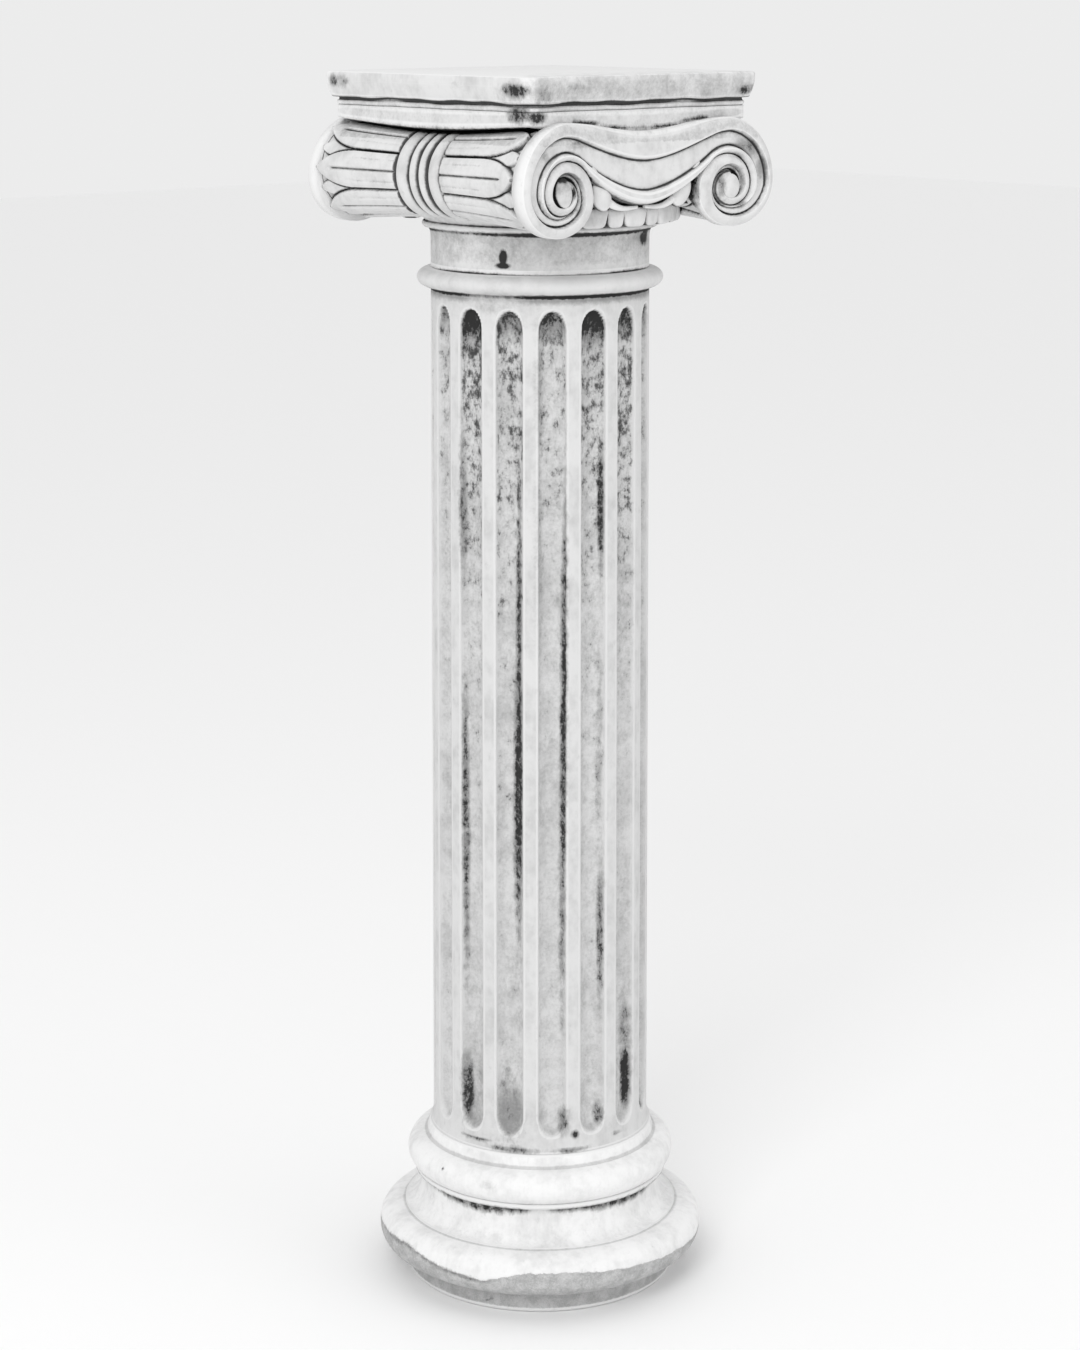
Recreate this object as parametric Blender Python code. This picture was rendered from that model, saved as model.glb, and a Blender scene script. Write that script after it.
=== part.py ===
"""Garden column in cast stone: a turned base, a fluted shaft and an Ionic capital.

The column stands on the ground with its axis on Z. The volute faces look along -Y and +Y, the
bolsters lie along Y on the -X and +X sides. All sizes are in metres.
"""
from math import cos, pi, radians, sin, sqrt

import bmesh
import bpy
from mathutils import Vector

# Gap left between two cast pieces that rest on each other
BED_GAP = 0.0003

# Heights of the pieces above the ground
BASE_HEIGHT = 0.137
SHAFT_HEIGHT = 0.7535
CAPITAL_HEIGHT = 0.1595

# Base: bottom disc and lower torus
DISC_RADIUS = 0.118
DISC_HEIGHT = 0.0205
LOWER_TORUS_RADIUS = 0.1436
LOWER_TORUS_BULGE = 0.0226
LOWER_TORUS_HEIGHT = 0.0388

# Base: raised line, scotia and the thin fillet with its undercut
LINE_STEP = 0.0015
SCOTIA_HEIGHT = 0.0225
SCOTIA_TOP_RADIUS = 0.1055
UNDERCUT_HEIGHT = 0.0090
FILLET_RADIUS = 0.1112
FILLET_HEIGHT = 0.0042

# Base: upper torus, the fine step over it and the foot of the flare
UPPER_TORUS_RADIUS = 0.1176
UPPER_TORUS_BULGE = 0.0156
UPPER_TORUS_HALF_HEIGHT = 0.0155
STEP_WIDTH = 0.0014
STEP_HEIGHT = 0.0012
JOINT_RADIUS = 0.0975

# Shaft
SHAFT_FOOT_RADIUS = 0.0948
SHAFT_TOP_RADIUS = 0.0915
FLARE_HEIGHT = 0.0125
FLUTE_COUNT = 16
FLUTE_SHARE = 0.65
FLUTE_DEPTH = 0.0085
FLUTE_TURN = radians(-2.0)
FLUTE_FOOT_MARGIN = 0.0145
FLUTE_HEAD_MARGIN = 0.0325
ASTRAGAL_RADIUS = 0.1032
ASTRAGAL_HEIGHT = 0.0165

# Capital: neck and echinus
NECK_RADIUS = 0.0913
NECK_HEIGHT = 0.0335
BEAD_RADIUS = 0.0985
BEAD_HEIGHT = 0.0050
ECHINUS_RADIUS = 0.1150
ECHINUS_HEIGHT = 0.0170
EGG_COUNT = 18
EGG_WIDTH = 0.0260
EGG_HEIGHT = 0.0180
EGG_PROUD = 0.0045

# Capital: volutes, spirals round an eye that shrink by one ratio each quarter turn
EYE_SPREAD = 0.0925
EYE_DROP = 0.0920
VOLUTE_RADIUS = 0.0565
VOLUTE_RATIO = 0.8255
VOLUTE_OUTWARD = 1.00
VOLUTE_INWARD = 1.14
VOLUTE_DOWNWARD = 0.84
VOLUTE_QUARTERS = 8
VOLUTE_STEPS = 4
FACE_DISTANCE = 0.1300
FACE_FLARE = 0.0030
FACE_THICKNESS = 0.0130

# Capital: the channel between the volutes
CHANNEL_SAG = 0.0120
CHANNEL_HEIGHT = 0.0555
CHANNEL_STEPS = 4
RIM_SHARE = 0.30
FLOOR_SHARE = 0.36
CHANNEL_DEPTH = 0.0040
EDGE_DEPTH = 0.0022
SEAM_DEPTH = 0.0036
INNER_RIM_DEPTH = 0.0008

# Capital: core behind the channel, and the buds in its corners
CORE_HALF_WIDTH = 0.0900
CORE_HALF_DEPTH = 0.1080
BUD_SPREAD = 0.0520
BUD_DROP = 0.0060
BUD_HEIGHT = 0.0270
BUD_WIDTH = 0.0180
BUD_PROUD = 0.0160

# Capital: bolsters, with their leaves and belts
BOLSTER_SPREAD = 0.0965
BOLSTER_DROP = 0.0800
BOLSTER_END_RADIUS = 0.0400
BOLSTER_WAIST_RADIUS = 0.0325
BOLSTER_SQUASH = 0.95
LEAF_COUNT = 7
LEAF_PROUD = 0.0034
LEAF_TURN = radians(3.0)
LEAF_ROWS = (0.0, 0.55, 0.78, 0.93, 1.0)
WIDE_CORD = 0.0170
THIN_CORD = 0.0115
CORD_PROUD = 0.0034

# Capital: abacus
ABACUS_WIDTH = 0.2550
ABACUS_CORNER = 0.0080
SLAB_HEIGHT = 0.0205
SLAB_ROUND = 0.0012
SLAB_TAPER = 0.0032
GROOVE_HEIGHT = 0.0018
GROOVE_INSET = 0.0070
ROLL_HEIGHT = 0.0050
ROLL_INSET = 0.0035
FASCIA_HEIGHT = 0.0180
FASCIA_INSET = 0.0065

# Facets of the turned pieces
BASE_FACETS = 48
DRUM_FACETS = 40

# Worked out from the sizes above
SHAFT_FOOT = BASE_HEIGHT + BED_GAP
SHAFT_HEAD = SHAFT_FOOT + SHAFT_HEIGHT
CAPITAL_FOOT = SHAFT_HEAD + BED_GAP
COLUMN_HEIGHT = CAPITAL_FOOT + CAPITAL_HEIGHT
EYE_LEVEL = COLUMN_HEIGHT - EYE_DROP
BOLSTER_LEVEL = COLUMN_HEIGHT - BOLSTER_DROP
FASCIA_FOOT = COLUMN_HEIGHT - SLAB_HEIGHT - GROOVE_HEIGHT - ROLL_HEIGHT - FASCIA_HEIGHT
TURN = 2.0 * pi

# Facets closer to flat than this are one face of the joined capital
FLAT_ANGLE = radians(1.5)


def clear_scene():
    """Remove every object that the file opened with."""
    for item in list(bpy.data.objects):
        bpy.data.objects.remove(item, do_unlink=True)


def cast_stone(name, colour, roughness):
    """Material of one cast piece."""
    material = bpy.data.materials.new(name)
    material.use_nodes = True
    shader = material.node_tree.nodes["Principled BSDF"]
    shader.inputs["Base Color"].default_value = (*colour, 1.0)
    shader.inputs["Roughness"].default_value = roughness
    shader.inputs["Metallic"].default_value = 0.0
    material.diffuse_color = (*colour, 1.0)
    return material


def add_object(name, mesh, material=None):
    """Object with the mesh, linked to the scene."""
    item = bpy.data.objects.new(name, mesh)
    bpy.context.scene.collection.objects.link(item)
    if material:
        mesh.materials.append(material)
        mesh.shade_smooth()
        mesh.set_sharp_from_angle(angle=radians(35.0))
    return item


def stacked_rings(name, rings):
    """Closed mesh through rings of equal count, with a flat cap at both ends."""
    shape = bmesh.new()
    levels = [[shape.verts.new(point) for point in ring] for ring in rings]
    for low, high in zip(levels, levels[1:]):
        for index in range(len(low)):
            following = (index + 1) % len(low)
            shape.faces.new((low[index], low[following], high[following], high[index]))
    shape.faces.new(list(reversed(levels[0])))
    shape.faces.new(levels[-1])
    bmesh.ops.recalc_face_normals(shape, faces=shape.faces)
    mesh = bpy.data.meshes.new(name)
    shape.to_mesh(mesh)
    shape.free()
    return mesh


def circle(radius, height, facets):
    """Ring of points round the Z axis."""
    return [
        Vector((radius * cos(TURN * step / facets), radius * sin(TURN * step / facets), height))
        for step in range(facets)
    ]


def arc(centre, reach, rise, start, end, steps):
    """Points (radius, height) on an upright elliptical arc, angles in degrees."""
    points = []
    for step in range(steps + 1):
        angle = radians(start + (end - start) * step / steps)
        points.append((centre[0] + reach * cos(angle), centre[1] + rise * sin(angle)))
    return points


def flare(foot, head, steps):
    """Points (radius, height) on a hollow curve that leaves the foot flat and arrives upright."""
    points = []
    for step in range(steps + 1):
        angle = 0.5 * pi * step / steps
        radius = head[0] + (foot[0] - head[0]) * (1.0 - sin(angle))
        height = foot[1] + (head[1] - foot[1]) * (1.0 - cos(angle))
        points.append((radius, height))
    return points


def base_profile():
    """Outer profile of the base from its underside to its bed."""
    half = LOWER_TORUS_HEIGHT / 2
    torus_centre = (LOWER_TORUS_RADIUS - LOWER_TORUS_BULGE, DISC_HEIGHT + half)
    line_foot = DISC_HEIGHT + LOWER_TORUS_HEIGHT
    line_radius = torus_centre[0]
    scotia_foot = (line_radius - LINE_STEP, line_foot + LINE_STEP)
    scotia_head = (SCOTIA_TOP_RADIUS, scotia_foot[1] + SCOTIA_HEIGHT)
    fillet_foot = scotia_head[1] + UNDERCUT_HEIGHT
    fillet_head = fillet_foot + FILLET_HEIGHT
    upper_axis = UPPER_TORUS_RADIUS - UPPER_TORUS_BULGE
    upper_level = fillet_head + UPPER_TORUS_HALF_HEIGHT * sin(radians(60.0))
    step_foot = upper_level + UPPER_TORUS_HALF_HEIGHT
    profile = [(DISC_RADIUS, 0.0), (DISC_RADIUS, DISC_HEIGHT)]
    profile += arc(torus_centre, LOWER_TORUS_BULGE, half, -80.0, 90.0, 6)
    profile.append((line_radius, scotia_foot[1]))
    profile += flare(scotia_foot, scotia_head, 3)
    profile.append((SCOTIA_TOP_RADIUS, fillet_foot))
    profile.append((FILLET_RADIUS, fillet_foot))
    profile.append((FILLET_RADIUS, fillet_head))
    profile += arc((upper_axis, upper_level), UPPER_TORUS_BULGE, UPPER_TORUS_HALF_HEIGHT, -60.0, 90.0, 5)
    profile.append((upper_axis - STEP_WIDTH, step_foot + STEP_HEIGHT))
    profile.append((JOINT_RADIUS, BASE_HEIGHT))
    return profile


def build_base(material):
    """Turned base with a flat underside and a flat bed."""
    rings = [circle(radius, height, BASE_FACETS) for radius, height in base_profile()]
    return add_object("base", stacked_rings("base", rings), material)


def flute_ring(radius, height, opening, depth):
    """Ring round the shaft; opening and depth are shares of the full flute."""
    pitch = TURN / FLUTE_COUNT
    half = 0.5 * pitch * FLUTE_SHARE * max(opening, 0.12)
    points = []
    for flute in range(FLUTE_COUNT):
        middle = FLUTE_TURN + pitch * (flute + 0.5)
        for across in (-1.0, -0.6, 0.0, 0.6, 1.0):
            angle = middle + across * half
            inward = depth * FLUTE_DEPTH * sqrt(1.0 - across * across)
            reach = radius - inward
            points.append(Vector((reach * cos(angle), reach * sin(angle), height)))
    return points


def shaft_rings():
    """Rings of the shaft from its foot to the top of the astragal."""
    flute_foot = SHAFT_FOOT + FLUTE_FOOT_MARGIN
    flute_head = SHAFT_HEAD - FLUTE_HEAD_MARGIN
    end_height = pi * SHAFT_TOP_RADIUS * FLUTE_SHARE / FLUTE_COUNT
    body_foot = SHAFT_FOOT + FLARE_HEIGHT
    body_head = SHAFT_HEAD - ASTRAGAL_HEIGHT

    def body_radius(height):
        share = (height - body_foot) / (body_head - body_foot)
        return SHAFT_FOOT_RADIUS + (SHAFT_TOP_RADIUS - SHAFT_FOOT_RADIUS) * share

    rings = []
    for radius, height in flare((JOINT_RADIUS, SHAFT_FOOT), (SHAFT_FOOT_RADIUS, body_foot), 2):
        rings.append(flute_ring(radius, height, 0.0, 0.0))
    end_angles = [radians(angle) for angle in (12.0, 32.0, 58.0, 90.0)]
    ends = [(end_height * (1.0 - cos(angle)), sin(angle)) for angle in end_angles]
    rings.append(flute_ring(body_radius(flute_foot), flute_foot, 0.0, 0.0))
    for distance, share in ends:
        height = flute_foot + distance
        rings.append(flute_ring(body_radius(height), height, share, share))
    for distance, share in reversed(ends):
        height = flute_head - distance
        rings.append(flute_ring(body_radius(height), height, share, share))
    rings.append(flute_ring(body_radius(flute_head), flute_head, 0.0, 0.0))
    half = ASTRAGAL_HEIGHT / 2
    bulge = ASTRAGAL_RADIUS - SHAFT_TOP_RADIUS
    for radius, height in arc((SHAFT_TOP_RADIUS, body_head + half), bulge, half, -90.0, 90.0, 4):
        rings.append(flute_ring(radius, height, 0.0, 0.0))
    return rings


def build_shaft(material):
    """Fluted shaft with its astragal."""
    return add_object("shaft", stacked_rings("shaft", shaft_rings()), material)


def rounded_square(half, corner, height, steps=2):
    """Ring of a square with round corners."""
    points = []
    for quarter in range(4):
        turn = quarter * pi / 2
        centre = (half - corner) * sqrt(2.0)
        middle = Vector((centre * cos(turn + pi / 4), centre * sin(turn + pi / 4), height))
        for step in range(steps + 1):
            angle = turn + 0.5 * pi * step / steps
            points.append(middle + Vector((corner * cos(angle), corner * sin(angle), 0.0)))
    return points


def abacus_mesh():
    """Slab over a groove, a small roll and a fascia, square in plan."""
    half = ABACUS_WIDTH / 2
    slab_foot = COLUMN_HEIGHT - SLAB_HEIGHT
    roll_head = slab_foot - GROOVE_HEIGHT
    roll_foot = roll_head - ROLL_HEIGHT
    outline = [
        (half - FASCIA_INSET, FASCIA_FOOT),
        (half - FASCIA_INSET, roll_foot),
        (half - ROLL_INSET, roll_foot + ROLL_HEIGHT / 4),
        (half - ROLL_INSET, roll_head - ROLL_HEIGHT / 4),
        (half - GROOVE_INSET, roll_head),
        (half - GROOVE_INSET, slab_foot),
        (half - SLAB_TAPER, slab_foot),
        (half - SLAB_TAPER / 2, slab_foot + SLAB_HEIGHT * 0.3),
        (half, slab_foot + SLAB_HEIGHT * 0.75),
        (half - SLAB_ROUND, COLUMN_HEIGHT - SLAB_ROUND),
        (half - SLAB_ROUND * 3, COLUMN_HEIGHT),
    ]
    rings = [rounded_square(reach, ABACUS_CORNER, height) for reach, height in outline]
    return stacked_rings("abacus", rings)


def drum_mesh():
    """Neck, bead and the smooth body of the echinus."""
    bead_foot = CAPITAL_FOOT + NECK_HEIGHT
    bead_head = bead_foot + BEAD_HEIGHT
    echinus_head = bead_head + ECHINUS_HEIGHT
    profile = [(NECK_RADIUS, CAPITAL_FOOT), (NECK_RADIUS, bead_foot - BEAD_HEIGHT)]
    profile.append((BEAD_RADIUS - BEAD_HEIGHT / 2, bead_foot))
    profile += arc((BEAD_RADIUS - BEAD_HEIGHT / 2, (bead_foot + bead_head) / 2),
                   BEAD_HEIGHT / 2, BEAD_HEIGHT / 2, -60.0, 60.0, 2)
    profile.append((BEAD_RADIUS - BEAD_HEIGHT / 2, bead_head))
    profile.append((ECHINUS_RADIUS - 0.3 * EGG_PROUD, echinus_head - 0.3 * ECHINUS_HEIGHT))
    profile.append((ECHINUS_RADIUS, echinus_head))
    rings = [circle(radius, height, DRUM_FACETS) for radius, height in profile]
    return stacked_rings("drum", rings)


def ellipsoid(name, centre, reach, around, along):
    """Closed ellipsoid with its poles on Z."""
    shape = bmesh.new()
    bmesh.ops.create_uvsphere(shape, u_segments=around, v_segments=along, radius=1.0)
    for vertex in shape.verts:
        vertex.co = Vector(centre) + Vector(
            (vertex.co.x * reach[0], vertex.co.y * reach[1], vertex.co.z * reach[2]))
    mesh = bpy.data.meshes.new(name)
    shape.to_mesh(mesh)
    shape.free()
    return mesh


def egg_meshes():
    """Eggs of the echinus that show between the volutes on both faces."""
    pitch = TURN / EGG_COUNT
    level = CAPITAL_FOOT + NECK_HEIGHT + BEAD_HEIGHT + ECHINUS_HEIGHT * 0.52
    eggs = []
    for face in (-1, 1):
        for place in (-2, -1, 0, 1, 2):
            angle = face * pi / 2 + place * pitch
            reach = ECHINUS_RADIUS - EGG_PROUD
            centre = (reach * cos(angle), reach * sin(angle), level)
            size = (EGG_WIDTH / 2, EGG_WIDTH / 2, EGG_HEIGHT / 2)
            eggs.append(ellipsoid("egg", centre, size, 8, 4))
    return eggs


def volute_edge(turn):
    """Outer edge of the right scroll in (x, z) after so many quarter turns from the top."""
    angle = pi / 2 - turn * pi / 2
    radius = VOLUTE_RADIUS * VOLUTE_RATIO ** turn
    across = radius * cos(angle) * (VOLUTE_OUTWARD if cos(angle) > 0.0 else VOLUTE_INWARD)
    up = radius * sin(angle) * (1.0 if sin(angle) > 0.0 else VOLUTE_DOWNWARD)
    return Vector((EYE_SPREAD + across, EYE_LEVEL + up))


def relief_shares():
    """Places across the scroll's band, as shares of its width, and their depths."""
    floor_end = RIM_SHARE + 0.08 + FLOOR_SHARE
    return (
        (0.0, EDGE_DEPTH),
        (0.07, 0.0),
        (RIM_SHARE, 0.0),
        (RIM_SHARE + 0.08, CHANNEL_DEPTH),
        (floor_end, CHANNEL_DEPTH),
        (floor_end + 0.08, INNER_RIM_DEPTH),
        (1.0, SEAM_DEPTH),
    )


def face_reach(across):
    """Distance of the volute face from the middle plane, a little hollow in plan."""
    return FACE_DISTANCE + FACE_FLARE * (across / EYE_SPREAD) ** 2


def channel_edges(share):
    """Upper and lower edge of the channel; share runs from 0 at its middle to 1 at the scroll."""
    last = volute_edge(3.5)
    crown = EYE_LEVEL + VOLUTE_RADIUS
    run = EYE_SPREAD * 0.80
    top = Vector((run * share, crown - CHANNEL_SAG * 0.5 * (1.0 + cos(pi * share * 0.80))))
    low = Vector((0.0, crown - CHANNEL_SAG - CHANNEL_HEIGHT))
    leave = Vector((last.x * 0.95, 0.0))
    arrive = Vector((last.x * 0.62, last.x * 0.62))
    square, cube = share ** 2, share ** 3
    bottom = low * (2 * cube - 3 * square + 1) + leave * (cube - 2 * square + share)
    bottom += last * (3 * square - 2 * cube) + arrive * (cube - square)
    return top, bottom


def band_sections():
    """Outer and inner edge points along half a face, from the middle to the eye."""
    sections = [channel_edges(step / CHANNEL_STEPS) for step in range(CHANNEL_STEPS)]
    top = channel_edges(1.0)[0]
    crown = volute_edge(0.0)
    for share in (0.0, 0.5):
        height = top.y + (crown.y - top.y) * sin(share * pi / 2)
        outer = Vector((top.x + (crown.x - top.x) * share, height))
        sections.append((outer, volute_edge(3.5 + share / 2)))
    for step in range(VOLUTE_QUARTERS * VOLUTE_STEPS + 1):
        turn = step / VOLUTE_STEPS
        sections.append((volute_edge(turn), volute_edge(turn + 4.0)))
    return sections


def face_mesh(front):
    """Plate with the whole carved face: scroll, channel and scroll, closed at the back."""
    shape = bmesh.new()
    known = {}

    def vertex(point, depth, side):
        key = (round(point.x * side, 6), round(point.y, 6))
        if key not in known:
            across = point.x * side
            known[key] = shape.verts.new((across, front * (face_reach(across) - depth), point.y))
        return known[key]

    shares = relief_shares()
    for side in (1, -1):
        rows = []
        for outer, inner in band_sections():
            rows.append([vertex(outer.lerp(inner, share), depth, side) for share, depth in shares])
        for first, second in zip(rows, rows[1:]):
            for index in range(len(shares) - 1):
                corners = (first[index], first[index + 1], second[index + 1], second[index])
                shape.faces.new(corners)
        eye = [vertex(volute_edge(VOLUTE_QUARTERS + step / VOLUTE_STEPS), SEAM_DEPTH, side)
               for step in range(4 * VOLUTE_STEPS)]
        boundary = eye + list(reversed(rows[-1][1:]))
        middle = sum((corner.co for corner in boundary), Vector()) / len(boundary)
        peak = shape.verts.new((middle.x, front * face_reach(middle.x), middle.z))
        for index, corner in enumerate(boundary):
            following = boundary[(index + 1) % len(boundary)]
            shape.faces.new((corner, following, peak))
    close_behind(shape, front * (FACE_DISTANCE - FACE_THICKNESS))
    mesh = bpy.data.meshes.new("face")
    shape.to_mesh(mesh)
    shape.free()
    return mesh


def close_behind(shape, plane):
    """Wall from the open edge of a relief back to a plane, and a flat cap there."""
    edges = [edge for edge in shape.edges if edge.is_boundary]
    walls = bmesh.ops.extrude_edge_only(shape, edges=edges)["geom"]
    rim = [item for item in walls if isinstance(item, bmesh.types.BMVert)]
    for corner in rim:
        corner.co.y = plane
    loop = [item for item in walls if isinstance(item, bmesh.types.BMEdge) and item.is_boundary]
    bmesh.ops.contextual_create(shape, geom=loop)
    bmesh.ops.recalc_face_normals(shape, faces=shape.faces)


def cord_stations():
    """Places along the bolster across the belt, with the share of a cord's height there."""
    place = -(WIDE_CORD + THIN_CORD)
    stations = [(place, 0.0)]
    for width, crests in ((WIDE_CORD, (0.25, 0.75)), (THIN_CORD, (0.5,)),
                          (THIN_CORD, (0.5,)), (WIDE_CORD, (0.25, 0.75))):
        stations += [(place + width * crest, 1.0) for crest in crests]
        place += width
        stations.append((place, 0.0))
    return stations


def leaf_height(across, along):
    """Share of a leaf's height; across from 0 at the midrib to 1 at the seam between two leaves."""
    tip = 1.0 - max(0.0, (along - 0.45) / 0.55) ** 2
    if across > 0.9:
        return max(0.0, 1.0 - abs(along - 0.93) / 0.2) * 0.7
    if across >= tip:
        return 0.0
    midrib = 0.55 * (1.0 - along) if across < 0.1 else 0.0
    return sqrt(1.0 - (across / tip) ** 2) - midrib


def bolster_ring(side, place, radius, proud):
    """Ring of the bolster's section; proud gives the raised heights from a midrib to the next."""
    points = []
    for step in range(LEAF_COUNT * len(proud)):
        angle = LEAF_TURN + TURN * step / (LEAF_COUNT * len(proud))
        reach = radius + proud[step % len(proud)]
        across = BOLSTER_SPREAD + reach * cos(angle)
        points.append(Vector((side * across, place, BOLSTER_LEVEL + reach * BOLSTER_SQUASH * sin(angle))))
    return points


def bolster_mesh(side):
    """Saddle-shaped bolster with leaves running from its belt to both volutes."""
    belt_half = WIDE_CORD + THIN_CORD
    end = FACE_DISTANCE - FACE_THICKNESS + 0.0020
    rings = {}

    def waist(place):
        share = abs(place) / end
        return BOLSTER_WAIST_RADIUS + (BOLSTER_END_RADIUS - BOLSTER_WAIST_RADIUS) * share ** 1.6

    for place, share in cord_stations():
        rings[place] = bolster_ring(side, place, waist(place), [CORD_PROUD * share] * 4)
    for along in LEAF_ROWS:
        place = belt_half + 0.001 + (end - belt_half - 0.001) * along
        proud = [LEAF_PROUD * leaf_height(across, along) for across in (0.0, 0.5, 1.0, 0.5)]
        for half in (-1, 1):
            rings[half * place] = bolster_ring(side, half * place, waist(place), proud)
    return stacked_rings("bolster", [rings[place] for place in sorted(rings)])


def core_mesh():
    """Block that joins the bolsters, the faces, the echinus and the abacus."""
    foot = CAPITAL_FOOT + NECK_HEIGHT + BEAD_HEIGHT + ECHINUS_HEIGHT * 0.6
    head = FASCIA_FOOT + FASCIA_HEIGHT / 2
    shape = bmesh.new()
    bmesh.ops.create_cube(shape, size=1.0)
    for vertex in shape.verts:
        vertex.co = Vector((
            vertex.co.x * 2 * CORE_HALF_WIDTH,
            vertex.co.y * 2 * CORE_HALF_DEPTH,
            foot + (vertex.co.z + 0.5) * (head - foot)))
    mesh = bpy.data.meshes.new("core")
    shape.to_mesh(mesh)
    shape.free()
    return mesh


def bud_meshes():
    """Leaf bud in each corner between a scroll, the channel and the echinus."""
    level = EYE_LEVEL - BUD_DROP
    buds = []
    for face in (-1, 1):
        for side in (-1, 1):
            centre = (side * BUD_SPREAD, face * CORE_HALF_DEPTH, level)
            size = (BUD_WIDTH / 2, BUD_PROUD, BUD_HEIGHT / 2)
            buds.append(ellipsoid("bud", centre, size, 8, 4))
    return buds


def fused(name, meshes, material):
    """One object from overlapping closed meshes, joined by Boolean unions."""
    body = add_object(name, meshes[0])
    for mesh in meshes[1:]:
        tool = add_object("tool", mesh)
        union = body.modifiers.new("union", "BOOLEAN")
        union.operation = "UNION"
        union.solver = "EXACT"
        union.object = tool
        bpy.context.view_layer.update()
        joined = bpy.data.meshes.new_from_object(body.evaluated_get(bpy.context.evaluated_depsgraph_get()))
        body.modifiers.remove(union)
        body.data = joined
        bpy.data.objects.remove(tool, do_unlink=True)
    shape = bmesh.new()
    shape.from_mesh(body.data)
    bmesh.ops.remove_doubles(shape, verts=shape.verts, dist=0.00002)
    bmesh.ops.dissolve_degenerate(shape, edges=shape.edges, dist=0.00002)
    bmesh.ops.dissolve_limit(shape, angle_limit=FLAT_ANGLE, verts=shape.verts, edges=shape.edges)
    bmesh.ops.triangulate(shape, faces=shape.faces)
    mesh = bpy.data.meshes.new(name)
    shape.to_mesh(mesh)
    shape.free()
    bpy.data.objects.remove(body, do_unlink=True)
    return add_object(name, mesh, material)


def build_capital(material):
    """Ionic capital as one cast piece."""
    meshes = [drum_mesh(), core_mesh(), abacus_mesh()]
    meshes += [bolster_mesh(side) for side in (-1, 1)]
    meshes += [face_mesh(front) for front in (-1, 1)]
    meshes += bud_meshes()
    meshes += egg_meshes()
    return fused("capital", meshes, material)


def build_column():
    """Build the three pieces in the order a mason would set them."""
    clear_scene()
    build_base(cast_stone("base_stone", (0.62, 0.61, 0.58), 0.85))
    build_shaft(cast_stone("shaft_stone", (0.70, 0.69, 0.66), 0.85))
    build_capital(cast_stone("capital_stone", (0.72, 0.71, 0.68), 0.85))


build_column()
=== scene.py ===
"""Looks of a garden column in cast stone: turned base, fluted shaft and Ionic capital.

The column stands on the ground with its axis on Z. The volute faces look along -Y and +Y, the
bolsters lie along Y on the -X and +X sides. All sizes are in metres.
"""
import logging
from dataclasses import dataclass
from enum import Enum
from math import cos, pi, radians, sin, sqrt
from typing import Callable, Iterable, Sequence

import bmesh
import bpy
import numpy as np
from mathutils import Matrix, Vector
from mathutils.bvhtree import BVHTree


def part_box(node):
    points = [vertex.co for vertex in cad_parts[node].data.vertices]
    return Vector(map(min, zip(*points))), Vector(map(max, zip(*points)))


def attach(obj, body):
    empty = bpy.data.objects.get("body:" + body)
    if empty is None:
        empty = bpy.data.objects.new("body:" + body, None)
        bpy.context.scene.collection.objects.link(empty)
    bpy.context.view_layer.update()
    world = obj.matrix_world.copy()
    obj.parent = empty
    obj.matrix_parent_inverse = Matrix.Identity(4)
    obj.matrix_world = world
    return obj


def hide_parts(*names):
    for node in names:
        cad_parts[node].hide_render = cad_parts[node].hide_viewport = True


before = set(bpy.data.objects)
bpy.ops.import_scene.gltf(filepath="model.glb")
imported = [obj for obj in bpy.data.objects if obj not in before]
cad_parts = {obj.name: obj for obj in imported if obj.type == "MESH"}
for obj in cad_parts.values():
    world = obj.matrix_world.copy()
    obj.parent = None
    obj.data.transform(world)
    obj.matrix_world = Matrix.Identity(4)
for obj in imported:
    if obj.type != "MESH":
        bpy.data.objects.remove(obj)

LOG = logging.getLogger("column")
TURN = 2.0 * pi
LOBE_COLUMNS = 40
LOBE_ROWS = 21
TUBE_SIDES = 16


class Side(Enum):
    """Sides of the capital, as the direction along X or Y in which they look."""

    MINUS = -1
    PLUS = 1


# Building blocks for node trees


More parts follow.
